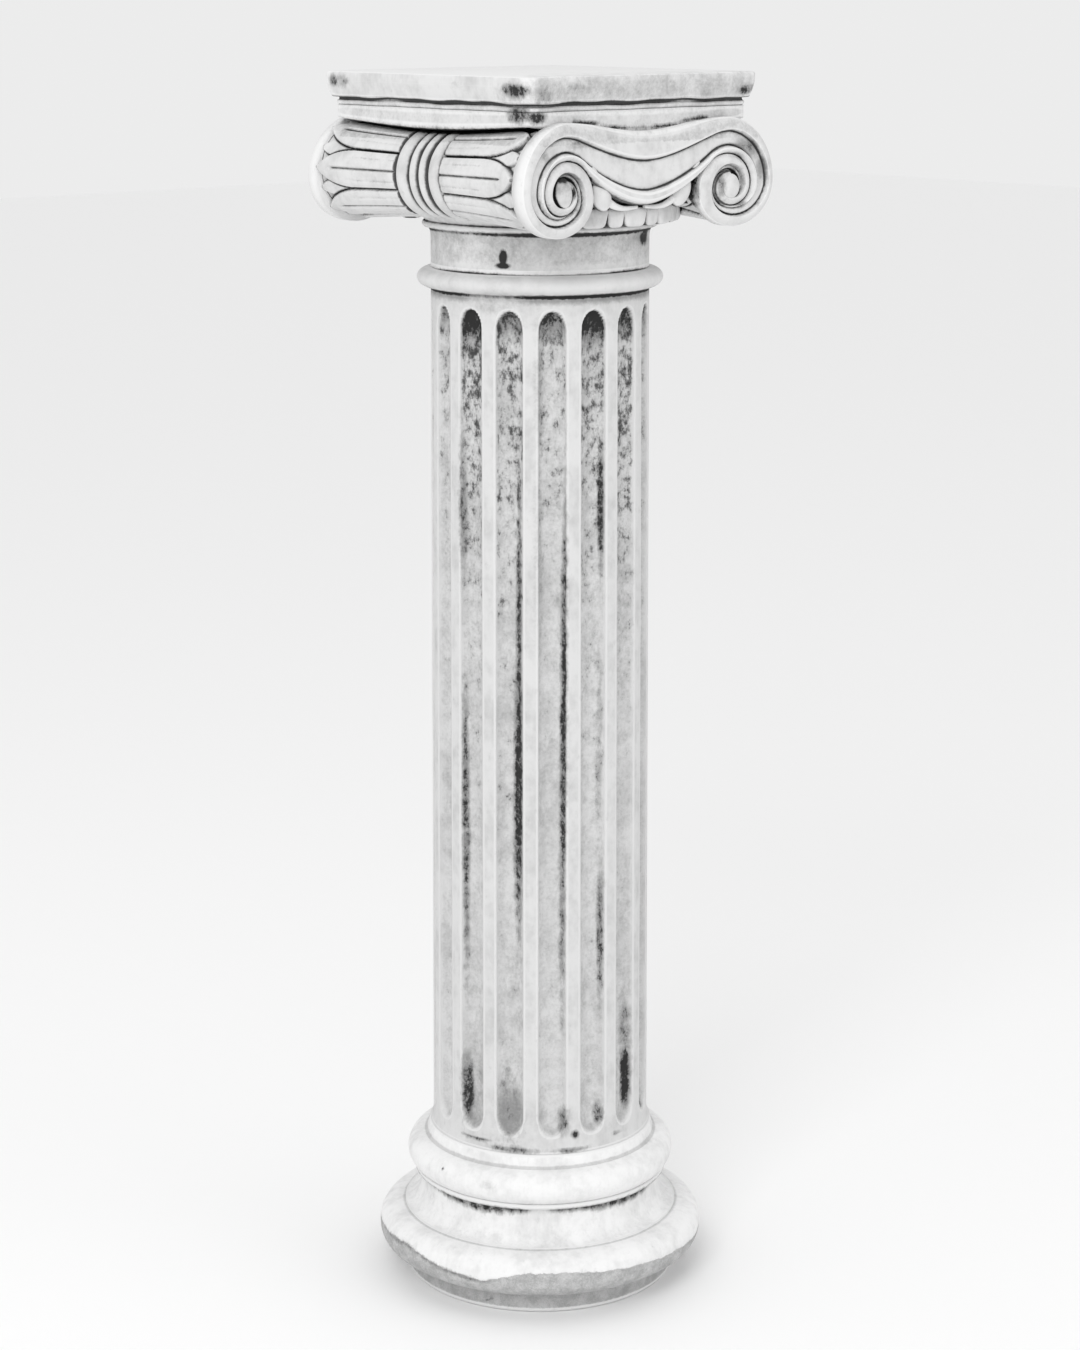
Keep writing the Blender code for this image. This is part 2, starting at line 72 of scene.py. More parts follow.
class Field:
    """Value that varies over a surface, used in sums while a node tree is built."""

    def __init__(self, tree: bpy.types.NodeTree, socket: bpy.types.NodeSocket) -> None:
        """Wrap an output socket.

        Args:
            tree: Node tree that holds the socket.
            socket: Output socket that carries the value.
        """
        self.tree = tree
        self.socket = socket

    def _math(self, operation: str, *terms: "Field | float") -> "Field":
        """Result of one Math node.

        Args:
            operation: Name of the node's operation.
            terms: Its inputs in order.

        Returns:
            The node's output.
        """
        node = self.tree.nodes.new("ShaderNodeMath")
        node.operation = operation
        for socket, term in zip(node.inputs, terms):
            feed(self.tree, socket, term)
        return Field(self.tree, node.outputs[0])

    def __add__(self, other: "Field | float") -> "Field":
        """Sum."""
        return self._math("ADD", self, other)

    def __sub__(self, other: "Field | float") -> "Field":
        """Difference."""
        return self._math("SUBTRACT", self, other)

    def __rsub__(self, other: float) -> "Field":
        """Difference from a plain number."""
        return self._math("SUBTRACT", other, self)

    def __mul__(self, other: "Field | float") -> "Field":
        """Product."""
        return self._math("MULTIPLY", self, other)

    def __truediv__(self, other: "Field | float") -> "Field":
        """Quotient."""
        return self._math("DIVIDE", self, other)

    def at_least(self, other: "Field | float") -> "Field":
        """The larger of two values."""
        return self._math("MAXIMUM", self, other)

    def at_most(self, other: "Field | float") -> "Field":
        """The smaller of two values."""
        return self._math("MINIMUM", self, other)

    def above(self, other: "Field | float") -> "Field":
        """One where the value is above the other, and zero elsewhere."""
        return self._math("GREATER_THAN", self, other)

    def root(self) -> "Field":
        """Square root."""
        return self._math("SQRT", self)

    def rounded(self) -> "Field":
        """Nearest whole number."""
        return self._math("ROUND", self)

    def floor(self) -> "Field":
        """Whole number below."""
        return self._math("FLOOR", self)

    def sine(self) -> "Field":
        """Sine of the value in radians."""
        return self._math("SINE", self)

    def cosine(self) -> "Field":
        """Cosine of the value in radians."""
        return self._math("COSINE", self)

    def eased(self, low: "Field | float", high: "Field | float") -> "Field":
        """Smooth rise from zero to one.

        Args:
            low: Value where the rise starts.
            high: Value where it has arrived.

        Returns:
            The eased value.
        """
        node = self.tree.nodes.new("ShaderNodeMapRange")
        node.interpolation_type = "SMOOTHSTEP"
        feed(self.tree, node.inputs["Value"], self)
        feed(self.tree, node.inputs["From Min"], low)
        feed(self.tree, node.inputs["From Max"], high)
        return Field(self.tree, node.outputs["Result"])


def feed(tree: bpy.types.NodeTree, socket: bpy.types.NodeSocket, value: "Field | object") -> None:
    """Link a field to an input socket, or set a plain value on it.

    Args:
        tree: Node tree that holds the socket.
        socket: Input socket.
        value: Field, socket or plain value.
    """
    if isinstance(value, Field):
        tree.links.new(value.socket, socket)
    elif isinstance(value, bpy.types.NodeSocket):
        tree.links.new(value, socket)
    else:
        socket.default_value = value


def add_node(tree: bpy.types.NodeTree, kind: str, inputs: dict, **settings: object) -> bpy.types.Node:
    """Make a node and fill its inputs.

    Args:
        tree: Node tree that takes the node.
        kind: Blender's name for the node type.
        inputs: Values by the input's name or place.
        settings: Properties of the node itself.

    Returns:
        The new node.
    """
    node = tree.nodes.new(kind)
    for name, value in settings.items():
        setattr(node, name, value)
    for name, value in inputs.items():
        feed(tree, node.inputs[name], value)
    return node


def combine(tree: bpy.types.NodeTree, x: "Field | float", y: "Field | float", z: "Field | float") -> Field:
    """Vector from three values."""
    node = add_node(tree, "ShaderNodeCombineXYZ", {0: x, 1: y, 2: z})
    return Field(tree, node.outputs[0])


def separate(tree: bpy.types.NodeTree, vector: Field) -> tuple[Field, Field, Field]:
    """The three values of a vector."""
    node = add_node(tree, "ShaderNodeSeparateXYZ", {0: vector})
    return tuple(Field(tree, output) for output in node.outputs)


class ShapeTree:
    """Geometry node tree with named inputs that ends in Realize Instances and Set Material."""

    def __init__(self, name: str) -> None:
        """Start an empty tree.

        Args:
            name: Name of the tree.
        """
        self.tree = bpy.data.node_groups.new(name, "GeometryNodeTree")
        for way in ("INPUT", "OUTPUT"):
            self.tree.interface.new_socket("Geometry", in_out=way, socket_type="NodeSocketGeometry")
        self.entry = self.tree.nodes.new("NodeGroupInput")
        self.identifiers: dict[str, str] = {}

    def number(self, name: str, default: float, whole: bool = False) -> Field:
        """Add a named input.

        Args:
            name: Name of the input.
            default: Its value where the caller gives none.
            whole: Whether it is a whole number.

        Returns:
            The input's value.
        """
        kind = "NodeSocketInt" if whole else "NodeSocketFloat"
        socket = self.tree.interface.new_socket(name, in_out="INPUT", socket_type=kind)
        socket.default_value = default
        self.identifiers[name] = socket.identifier
        return Field(self.tree, self.entry.outputs[name])

    def close(self, geometry: bpy.types.NodeSocket, material: bpy.types.Material) -> None:
        """End the tree.

        Args:
            geometry: Finished geometry.
            material: Material of the whole piece.
        """
        real = add_node(self.tree, "GeometryNodeRealizeInstances", {"Geometry": geometry})
        dressed = add_node(self.tree, "GeometryNodeSetMaterial",
                           {"Geometry": real.outputs[0], "Material": material})
        leave = self.tree.nodes.new("NodeGroupOutput")
        self.tree.links.new(dressed.outputs[0], leave.inputs[0])

    def shape(self, name: str, start: bpy.types.Mesh, values: dict[str, float]) -> bpy.types.Mesh:
        """Run the tree once and keep the result as a plain mesh.

        Args:
            name: Name of the new mesh.
            start: Mesh that goes into the tree.
            values: Values of the named inputs.

        Returns:
            The resulting mesh.
        """
        carrier = link(name, start)
        modifier = carrier.modifiers.new("shape", "NODES")
        modifier.node_group = self.tree
        for key, value in values.items():
            modifier[self.identifiers[key]] = value
        mesh = evaluated_mesh(carrier, name)
        carrier.modifiers.clear()
        bpy.data.objects.remove(carrier, do_unlink=True)
        return mesh


class TurnedTree(ShapeTree):
    """Tree that turns an outline round Z.

    The starting mesh's points are the outline, (radius, 0, height) from the middle of the underside
    to the middle of the top.
    """

    CALM_RADIUS = 0.03
    WELD = 0.00002

    def __init__(self, name: str, material: bpy.types.Material) -> None:
        """Build the whole tree.

        Args:
            name: Name of the tree.
            material: Material of the turned piece.
        """
        super().__init__(name)
        tree = self.tree
        around = self.number("Around", 360, whole=True)
        rows = self.number("Rows", 100, whole=True)
        unevenness = self.number("Unevenness", 0.0005)
        scale = self.number("Unevenness Scale", 25.0)
        seed = self.number("Seed", 1.0)
        grid = add_node(tree, "GeometryNodeMeshGrid",
                        {"Size X": 1.0, "Size Y": 1.0, "Vertices X": around + 1.0, "Vertices Y": rows})
        position = Field(tree, tree.nodes.new("GeometryNodeInputPosition").outputs[0])
        along, up, _ = separate(tree, position)
        column = ((along + 0.5) * around).rounded()
        row = ((up + 0.5) * (rows - 1.0)).rounded()
        outline = add_node(tree, "GeometryNodeSampleIndex",
                           {"Geometry": self.entry.outputs["Geometry"], 1: position, "Index": row},
                           data_type="FLOAT_VECTOR", domain="POINT")
        reach, _, height = separate(tree, Field(tree, outline.outputs[0]))
        angle = self.angle(column, around)
        reach = reach - self.inward(height)
        plain = combine(tree, reach * angle.cosine(), reach * angle.sine(), height)
        waves = add_node(tree, "ShaderNodeTexNoise",
                         {"Vector": plain, "W": seed, "Scale": scale, "Detail": 2.0},
                         noise_dimensions="4D")
        middle_free = (reach / self.CALM_RADIUS).at_most(1.0)
        reach = reach + (Field(tree, waves.outputs[0]) - 0.5) * unevenness * middle_free
        place = combine(tree, reach * angle.cosine(), reach * angle.sine(), height)
        turned = add_node(tree, "GeometryNodeSetPosition",
                          {"Geometry": grid.outputs["Mesh"], "Position": place})
        whole = add_node(tree, "GeometryNodeMergeByDistance",
                         {"Geometry": turned.outputs[0], "Distance": self.WELD})
        smooth = add_node(tree, "GeometryNodeSetShadeSmooth", {0: whole.outputs[0]})
        self.close(smooth.outputs[0], material)

    def angle(self, column: Field, around: Field) -> Field:
        """Angle of a column of points.

        Args:
            column: Number of the column.
            around: Number of columns in a full turn.

        Returns:
            The angle in radians.
        """
        return column / around * TURN

    def inward(self, height: Field) -> "Field | float":
        """How far a point at some height lies inside the turned outline: nowhere on a plain piece."""
        return 0.0


class FlutedTree(TurnedTree):
    """Turned tree with round-ended flutes cut into it."""

    HOLLOW_COLUMNS = 16
    FLAT_COLUMNS = 8

    def angle(self, column: Field, around: Field) -> Field:
        """Angle of a column; the columns crowd towards the two edges of each flute.

        Args:
            column: Number of the column.
            around: Number of columns in a full turn.

        Returns:
            The angle in radians.
        """
        self.share = self.number("Flute Share", 0.65)
        self.turn = self.number("Flute Turn", 0.0)
        each = self.HOLLOW_COLUMNS + self.FLAT_COLUMNS
        flute = (column / each).floor()
        self.step = column - flute * each
        inside = self.share * 0.5 * (1.0 - (self.step * (pi / self.HOLLOW_COLUMNS)).cosine())
        outside = self.share + (self.step - self.HOLLOW_COLUMNS) / self.FLAT_COLUMNS * (1.0 - self.share)
        self.outside = self.step.above(self.HOLLOW_COLUMNS - 0.5)
        place = inside * (1.0 - self.outside) + outside * self.outside
        return self.turn + (flute + 0.5 - self.share * 0.5 + place) * each / around * TURN

    def inward(self, height: Field) -> Field:
        """Depth of the flutes.

        Args:
            height: Height of the point.

        Returns:
            The distance inward.
        """
        depth = self.number("Flute Depth", 0.008)
        foot = self.number("Flute Foot", 0.15)
        head = self.number("Flute Head", 0.85)
        end = self.number("Flute End", 0.012)
        into = ((height - foot).at_most(head - height) / end).at_least(0.0).at_most(1.0)
        width = 1.0 - (1.0 - into) * (1.0 - into)
        across = (self.step * (pi / self.HOLLOW_COLUMNS)).cosine()
        hollow = (width - across * across).at_least(0.0).root()
        return hollow * depth * (1.0 - self.outside)


class RingTree(ShapeTree):
    """Tree that sets copies of the starting mesh round Z, each turned to face outwards."""

    def __init__(self, name: str, material: bpy.types.Material) -> None:
        """Build the whole tree; no copies are left where X is over the side limit times the radius.

        Args:
            name: Name of the tree.
            material: Material of the copies.
        """
        super().__init__(name)
        tree = self.tree
        count = self.number("Count", 18, whole=True)
        side_limit = self.number("Side Limit", 2.0)
        reach = self.number("Radius", 0.1)
        level = self.number("Level", 0.0)
        turn = self.number("Turn", 0.0)
        line = add_node(tree, "GeometryNodeMeshLine", {"Count": count})
        index = Field(tree, tree.nodes.new("GeometryNodeInputIndex").outputs[0])
        angle = turn + index / count * TURN
        place = combine(tree, reach * angle.cosine(), reach * angle.sine(), level)
        points = add_node(tree, "GeometryNodeSetPosition",
                          {"Geometry": line.outputs["Mesh"], "Position": place})
        sideways = (angle.cosine() * angle.cosine()).root()
        copies = add_node(tree, "GeometryNodeInstanceOnPoints",
                          {"Points": points.outputs[0], "Selection": side_limit.above(sideways),
                           "Instance": self.entry.outputs["Geometry"],
                           "Rotation": combine(tree, 0.0, 0.0, angle)})
        self.close(copies.outputs[0], material)


# Building blocks for meshes


def link(name: str, mesh: bpy.types.Mesh) -> bpy.types.Object:
    """Put a mesh into the scene.

    Args:
        name: Name of the new object.
        mesh: Its mesh.

    Returns:
        The object.
    """
    item = bpy.data.objects.new(name, mesh)
    bpy.context.scene.collection.objects.link(item)
    return item


def evaluated_mesh(item: bpy.types.Object, name: str) -> bpy.types.Mesh:
    """Plain copy of an object's mesh with its modifiers applied.

    Args:
        item: Object with live modifiers.
        name: Name of the new mesh.

    Returns:
        The plain mesh.
    """
    bpy.context.view_layer.update()
    graph = bpy.context.evaluated_depsgraph_get()
    mesh = bpy.data.meshes.new_from_object(item.evaluated_get(graph), depsgraph=graph)
    mesh.name = name
    return mesh


def outline_mesh(outline: Sequence[tuple[float, float]]) -> bpy.types.Mesh:
    """Loose points (radius, 0, height) that a turned tree reads."""
    mesh = bpy.data.meshes.new("outline")
    mesh.from_pydata([(reach, 0.0, height) for reach, height in outline], [], [])
    return mesh


def loft(rows: np.ndarray, lines: np.ndarray | None = None) -> bpy.types.Mesh:
    """Closed mesh through rings of equal count, with a cap at both ends.

    Args:
        rows: Points as an array of rings, points and coordinates.
        lines: Strength of the dark lines of dirt and painted shade at each point of the rings.

    Returns:
        The closed mesh with its faces outwards.
    """
    levels, count, _ = rows.shape
    first = np.arange(levels - 1)[:, None] * count
    here = np.arange(count)[None, :]
    following = (here + 1) % count
    faces = np.stack((first + here, first + following, first + count + following,
                      first + count + here), axis=-1).reshape(-1, 4).tolist()
    points = rows.reshape(-1, 3).tolist()
    for ring in (rows[0], rows[-1]):
        points.append(ring.mean(axis=0).tolist())
    foot, head = len(points) - 2, len(points) - 1
    last = (levels - 1) * count
    for index in range(count):
        step = (index + 1) % count
        faces.append((foot, step, index))
        faces.append((head, last + index, last + step))
    mesh = bpy.data.meshes.new("loft")
    mesh.from_pydata(points, [], faces)
    shape = bmesh.new()
    shape.from_mesh(mesh)
    bmesh.ops.recalc_face_normals(shape, faces=shape.faces)
    shape.to_mesh(mesh)
    shape.free()
    if lines is not None:
        layer = mesh.attributes.new("lines", "FLOAT", "POINT")
        layer.data.foreach_set("value", np.append(lines.ravel(), (0.0, 0.0)).astype(np.float32))
    return mesh


def lobe(centre: Sequence[float], half: Sequence[float], lean: float = 0.0, fullness: float = 1.0,
         outward: int = 1) -> bpy.types.Mesh:
    """Closed rounded lump with a dark line of dirt and painted shade round its widest part.

    Args:
        centre: Its middle.
        half: Half sizes across, outwards and up.
        lean: Turn of its upper end, in radians.
        fullness: Below one for a blockier lump than an ellipsoid.
        outward: Number of the axis that points out of the stone.

    Returns:
        The closed mesh.
    """
    around = np.linspace(0.0, TURN, LOBE_COLUMNS, endpoint=False)
    across, up = (np.abs(wave) ** fullness * np.sign(wave) for wave in (np.cos(around), np.sin(around)))
    rows, lines = [], []
    for angle in np.linspace(-pi / 2, pi / 2, LOBE_ROWS + 2)[1:-1]:
        size = cos(angle) ** fullness
        x, z = half[0] * across * size, half[2] * up * size
        out = half[1] * abs(sin(angle)) ** fullness * np.sign(sin(angle))
        ring = np.stack((x * cos(lean) + z * sin(lean), np.full(len(x), out),
                         z * cos(lean) - x * sin(lean)), axis=-1)
        if outward == 0:
            ring = ring[:, (1, 0, 2)]
        rows.append(ring + np.array(centre))
        # Dark line of dirt and painted shade round the widest part.
        lines.append(np.full(len(x), 1.6 * max(0.0, 1.0 - 2.4 * abs(sin(angle)))))
    return loft(np.array(rows), np.array(lines))


def joined(name: str, parts: Sequence[bpy.types.Mesh], material: bpy.types.Material) -> bpy.types.Mesh:
    """One mesh of several closed parts, with their dark lines of dirt and painted shade.

    Args:
        name: Name of the new mesh.
        parts: Closed meshes.
        material: Finish of the whole mesh.

    Returns:
        The mesh.
    """
    points, faces, lines = [], [], []
    for part in parts:
        first = len(points)
        points += [tuple(vertex.co) for vertex in part.vertices]
        faces += [[first + index for index in face.vertices] for face in part.polygons]
        lines.append(kept_values(part, "lines"))
    mesh = bpy.data.meshes.new(name)
    mesh.from_pydata(points, [], faces)
    mesh.materials.append(material)
    mesh.shade_smooth()
    layer = mesh.attributes.new("lines", "FLOAT", "POINT")
    layer.data.foreach_set("value", np.concatenate(lines).astype(np.float32))
    return mesh


def kept_values(mesh: bpy.types.Mesh, name: str) -> np.ndarray:
    """Values that a mesh keeps on its points.

    Args:
        mesh: The mesh.
        name: Name of the values.

    Returns:
        One value a point, all zero where the mesh has none of that name.
    """
    values = np.zeros(len(mesh.vertices), dtype=np.float32)
    if name in mesh.attributes:
        mesh.attributes[name].data.foreach_get("value", values)
    return values.astype(float)


def surroundings(meshes: Iterable[bpy.types.Mesh]) -> BVHTree:
    """Search tree over the faces of several meshes.

    Args:
        meshes: The meshes.

    Returns:
        The tree, for casting rays.
    """
    points, faces = [], []
    for mesh in meshes:
        first = len(points)
        points += [tuple(vertex.co) for vertex in mesh.vertices]
        faces += [[first + index for index in face.vertices] for face in mesh.polygons]
    return BVHTree.FromPolygons(points, faces)


def tube(path: Sequence[Vector], radii: Sequence[float]) -> bpy.types.Mesh:
    """Closed round bar of changing thickness along a path, with dark lines of dirt and painted shade along
    its two edges.

    Args:
        path: Points of the middle line.
        radii: Radius at each point.

    Returns:
        The closed mesh.
    """
    rings = []
    for index, point in enumerate(path):
        ahead = path[min(index + 1, len(path) - 1)] - path[max(index - 1, 0)]
        across = ahead.cross(Vector((0.0, 1.0, 0.0))).normalized()
        away = across.cross(ahead).normalized()
        ring = []
        for step in range(TUBE_SIDES):
            angle = TURN * step / TUBE_SIDES
            ring.append(point + radii[index] * (across * cos(angle) + away * sin(angle)))
        rings.append([tuple(corner) for corner in ring])
    # Painted shade and dirt along the bar's two sides.
    edges = np.abs(np.cos(TURN * np.arange(TUBE_SIDES) / TUBE_SIDES))
    dirt_and_shade = 1.3 * np.clip(edges * 4.0 - 3.0, 0.0, 1.0)
    return loft(np.array(rings), np.tile(dirt_and_shade, (len(rings), 1)))


def curve_through(points: Sequence[Vector], steps: int) -> list[Vector]:
    """Smooth line through some points.

    Args:
        points: Points that the line passes.
        steps: Pieces between two points.

    Returns:
        Points along the line.
    """
    line = []
    for index in range(len(points) - 1):
        before = points[max(index - 1, 0)]
        start, end = points[index], points[index + 1]
        after = points[min(index + 2, len(points) - 1)]
        for step in range(steps):
            share = step / steps
            square, cube = share ** 2, share ** 3
            line.append(0.5 * (2.0 * start + (end - before) * share
                               + (2.0 * before - 5.0 * start + 4.0 * end - after) * square
                               + (3.0 * start - before - 3.0 * end + after) * cube))
    line.append(points[-1])
    return line


def arc(centre: tuple[float, float], reach: float, rise: float, start: float, end: float,
        steps: int, fullness: float = 1.0) -> list[tuple[float, float]]:
    """Points (radius, height) on an upright elliptical arc.

    Args:
        centre: Middle of the arc.
        reach: Half width.
        rise: Half height.
        start: First angle in degrees.
        end: Last angle in degrees.
        steps: Pieces of the arc.
        fullness: Below one for a fuller curve than an ellipse.

    Returns:
        The points.
    """
    points = []
    for step in range(steps + 1):
        angle = radians(start + (end - start) * step / steps)
        across, up = cos(angle), sin(angle)
        across = abs(across) ** fullness * (1.0 if across >= 0.0 else -1.0)
        up = abs(up) ** fullness * (1.0 if up >= 0.0 else -1.0)
        points.append((centre[0] + reach * across, centre[1] + rise * up))
    return points


def hollow(foot: tuple[float, float], head: tuple[float, float], steps: int) -> list[tuple[float, float]]:
    """Points on a hollow curve that leaves the foot flat and arrives upright.

    Args:
        foot: Its lower end.
        head: Its upper end.
        steps: Pieces of the curve.

    Returns:
        The points.
    """
    points = []
    for step in range(steps + 1):
        angle = 0.5 * pi * step / steps
        reach = head[0] + (foot[0] - head[0]) * (1.0 - sin(angle))
        points.append((reach, foot[1] + (head[1] - foot[1]) * (1.0 - cos(angle))))
    return points


def filled(outline: Sequence[tuple[float, float]], spacing: float) -> list[tuple[float, float]]:
    """Outline with more points on its long straight parts.

    Args:
        outline: Points (radius, height).
        spacing: Longest distance between two points.

    Returns:
        The finer outline.
    """
    points = [outline[0]]
    for start, end in zip(outline, outline[1:]):
        length = sqrt((end[0] - start[0]) ** 2 + (end[1] - start[1]) ** 2)
        pieces = max(1, round(length / spacing))
        for piece in range(1, pieces + 1):
            share = piece / pieces
            points.append((start[0] + (end[0] - start[0]) * share, start[1] + (end[1] - start[1]) * share))
    return points


# Age, dirt and painted shade, kept as values on the points of a mesh


@dataclass(frozen=True)
class Stain:
    """Soft-edged dark place on the surface.

    Attributes:
        centre: Middle of the stain.
        reach: Half sizes along X, Y and Z.
        strength: Darkness in the middle; above one the solid part is wider.
    """

    centre: tuple[float, float, float]
    reach: tuple[float, float, float]
    strength: float = 1.0

    def over(self, points: np.ndarray) -> np.ndarray:
        """Strength of the stain at some points.

        Args:
            points: Array of positions.

        Returns:
            One value a point.
        """
        away = np.linalg.norm((points - self.centre) / self.reach, axis=1)
        return self.strength * np.clip(1.5 - away, 0.0, 1.0)


def drum_stain(angle: float, radius: float, height: float, width: float, rise: float,
               strength: float = 1.0) -> Stain:
    """Stain on a round piece.

    Args:
        angle: Its direction from the axis in degrees.
        radius: Distance from the axis.
        height: Height above the ground.
        width: Half width.
        rise: Half height.
        strength: Darkness in the middle.

    Returns:
        The stain.
    """
    turn = radians(angle)
    return Stain((radius * cos(turn), radius * sin(turn), height), (width, width, rise), strength)


class Surface:
    """Points, normals and neighbours of a finished mesh, for working out where dirt gathers and where shade
    is painted.
    """

    RAY_LIFT = 0.0004
    RAY_LEAN = 1.05

    def __init__(self, mesh: bpy.types.Mesh) -> None:
        """Read a mesh.

        Args:
            mesh: The finished mesh.
        """
        self.mesh = mesh
        self.count = len(mesh.vertices)
        self.points = np.empty(self.count * 3)
        mesh.vertices.foreach_get("co", self.points)
        self.points = self.points.reshape(-1, 3)
        self.normals = np.empty(self.count * 3)
        mesh.vertices.foreach_get("normal", self.normals)
        self.normals = self.normals.reshape(-1, 3)
        ends = np.empty(len(mesh.edges) * 2, dtype=np.int64)
        mesh.edges.foreach_get("vertices", ends)
        self.ends = ends.reshape(-1, 2)
        self.degree = np.bincount(ends, minlength=self.count).astype(float)

    def averaged(self, values: np.ndarray, rounds: int) -> np.ndarray:
        """Values spread over the neighbours.

        Args:
            values: One value or vector a point.
            rounds: How many times each point takes the mean of its neighbours.

        Returns:
            The spread values.
        """
        columns = values.reshape(self.count, -1)
        for _ in range(rounds):
            spread = np.empty_like(columns)
            for column in range(columns.shape[1]):
                ahead = np.bincount(self.ends[:, 0], columns[self.ends[:, 1], column], self.count)
                back = np.bincount(self.ends[:, 1], columns[self.ends[:, 0], column], self.count)
                spread[:, column] = (ahead + back) / np.maximum(self.degree, 1.0)
            columns = 0.5 * (columns + spread)
        return columns.reshape(values.shape)

    def hollows(self, rounds: int) -> np.ndarray:
        """How far each point lies below its smoothed surroundings, negative on ridges."""
        return np.einsum("ij,ij->i", self.averaged(self.points, rounds) - self.points, self.normals)

    def shelter(self, near: BVHTree, reach: float, rays: int, seed: int) -> np.ndarray:
        """Share of the open directions that something nearby closes.

        Args:
            near: Faces of everything nearby.
            reach: How far a neighbouring form counts.
            rays: Directions tried at each point.
            seed: Start of the random directions.

        Returns:
            Values from zero, open, to one, closed in.
        """
        chance = np.random.default_rng(seed)
        spread = chance.normal(size=(rays, 3))
        spread /= np.linalg.norm(spread, axis=1)[:, None]
        closed = np.zeros(self.count)
        for index in range(self.count):
            normal = self.normals[index]
            start = Vector(self.points[index] + normal * self.RAY_LIFT)
            for direction in spread:
                way = Vector(direction + normal * self.RAY_LEAN)
                if near.ray_cast(start, way, reach)[0] is not None:
                    closed[index] += 1.0
        return self.averaged(closed / rays, 2)

    def store(self, name: str, values: np.ndarray) -> None:
        """Keep one value a point on the mesh."""
        layer = self.mesh.attributes.new(name, "FLOAT", "POINT")
        layer.data.foreach_set("value", values.astype(np.float32))


@dataclass
class Weather:
    """How dirt and wear lie on one piece.

    Attributes:
        stains: Places with packed dirt.
        smudges: Places with a grey film.
        near: Faces of everything nearby, whose closeness gives the painted shade.
        reach: How far neighbouring forms give painted shade.
        rays: Directions tried at each point for the painted shade.
        fine_rounds: Smoothing rounds for the narrow creases.
        broad_rounds: Smoothing rounds for the wider hollows.
        crease_size: Depth of a full crease.
        hollow_size: Depth of a full hollow.
        faintest: Weakest carved line that counts.
    """

    stains: tuple[Stain, ...] = ()
    smudges: tuple[Stain, ...] = ()
    near: BVHTree | None = None
    reach: float = 0.018
    rays: int = 10
    fine_rounds: int = 3
    broad_rounds: int = 24
    crease_size: float = 0.00022
    hollow_size: float = 0.0012
    faintest: float = 0.05

    def settle(self, mesh: bpy.types.Mesh, marks: Callable[[np.ndarray], dict[str, np.ndarray]]) -> None:
        """Write the values that the finish reads onto a mesh.

        Args:
            mesh: Finished mesh of the piece.
            marks: Gives the piece's own stain, film and painted shade, crust, bare, and lessened shade.
        """
        surface = Surface(mesh)
        own = marks(surface.points)
        fine = surface.averaged(surface.hollows(self.fine_rounds), 1) / self.crease_size
        broad = surface.hollows(self.broad_rounds) / self.hollow_size
        lines = kept_values(mesh, "lines")
        crease = np.where(lines > self.faintest, np.maximum(fine, lines), fine)
        values = {"crease": crease.clip(-1.2, 1.8), "hollow": np.clip(broad, -1.0, 1.6)}
        none = np.zeros(surface.count)
        # Painted shade: how far nearby forms close round each point, lessened where the piece marks less
        # shade.
        closed = surface.shelter(self.near, self.reach, self.rays, 5) if self.near else none
        values["shelter"] = closed * (1.0 - own.get("less_shade", none))
        for name, places in (("stain", self.stains), ("film", self.smudges)):
            total = own.get(name, none)
            for place in places:
                total = np.maximum(total, place.over(surface.points))
            values[name] = total
        for name in ("crust", "bare"):
            values[name] = own.get(name, none)
        for name, value in values.items():
            surface.store(name, value)


# Finishes


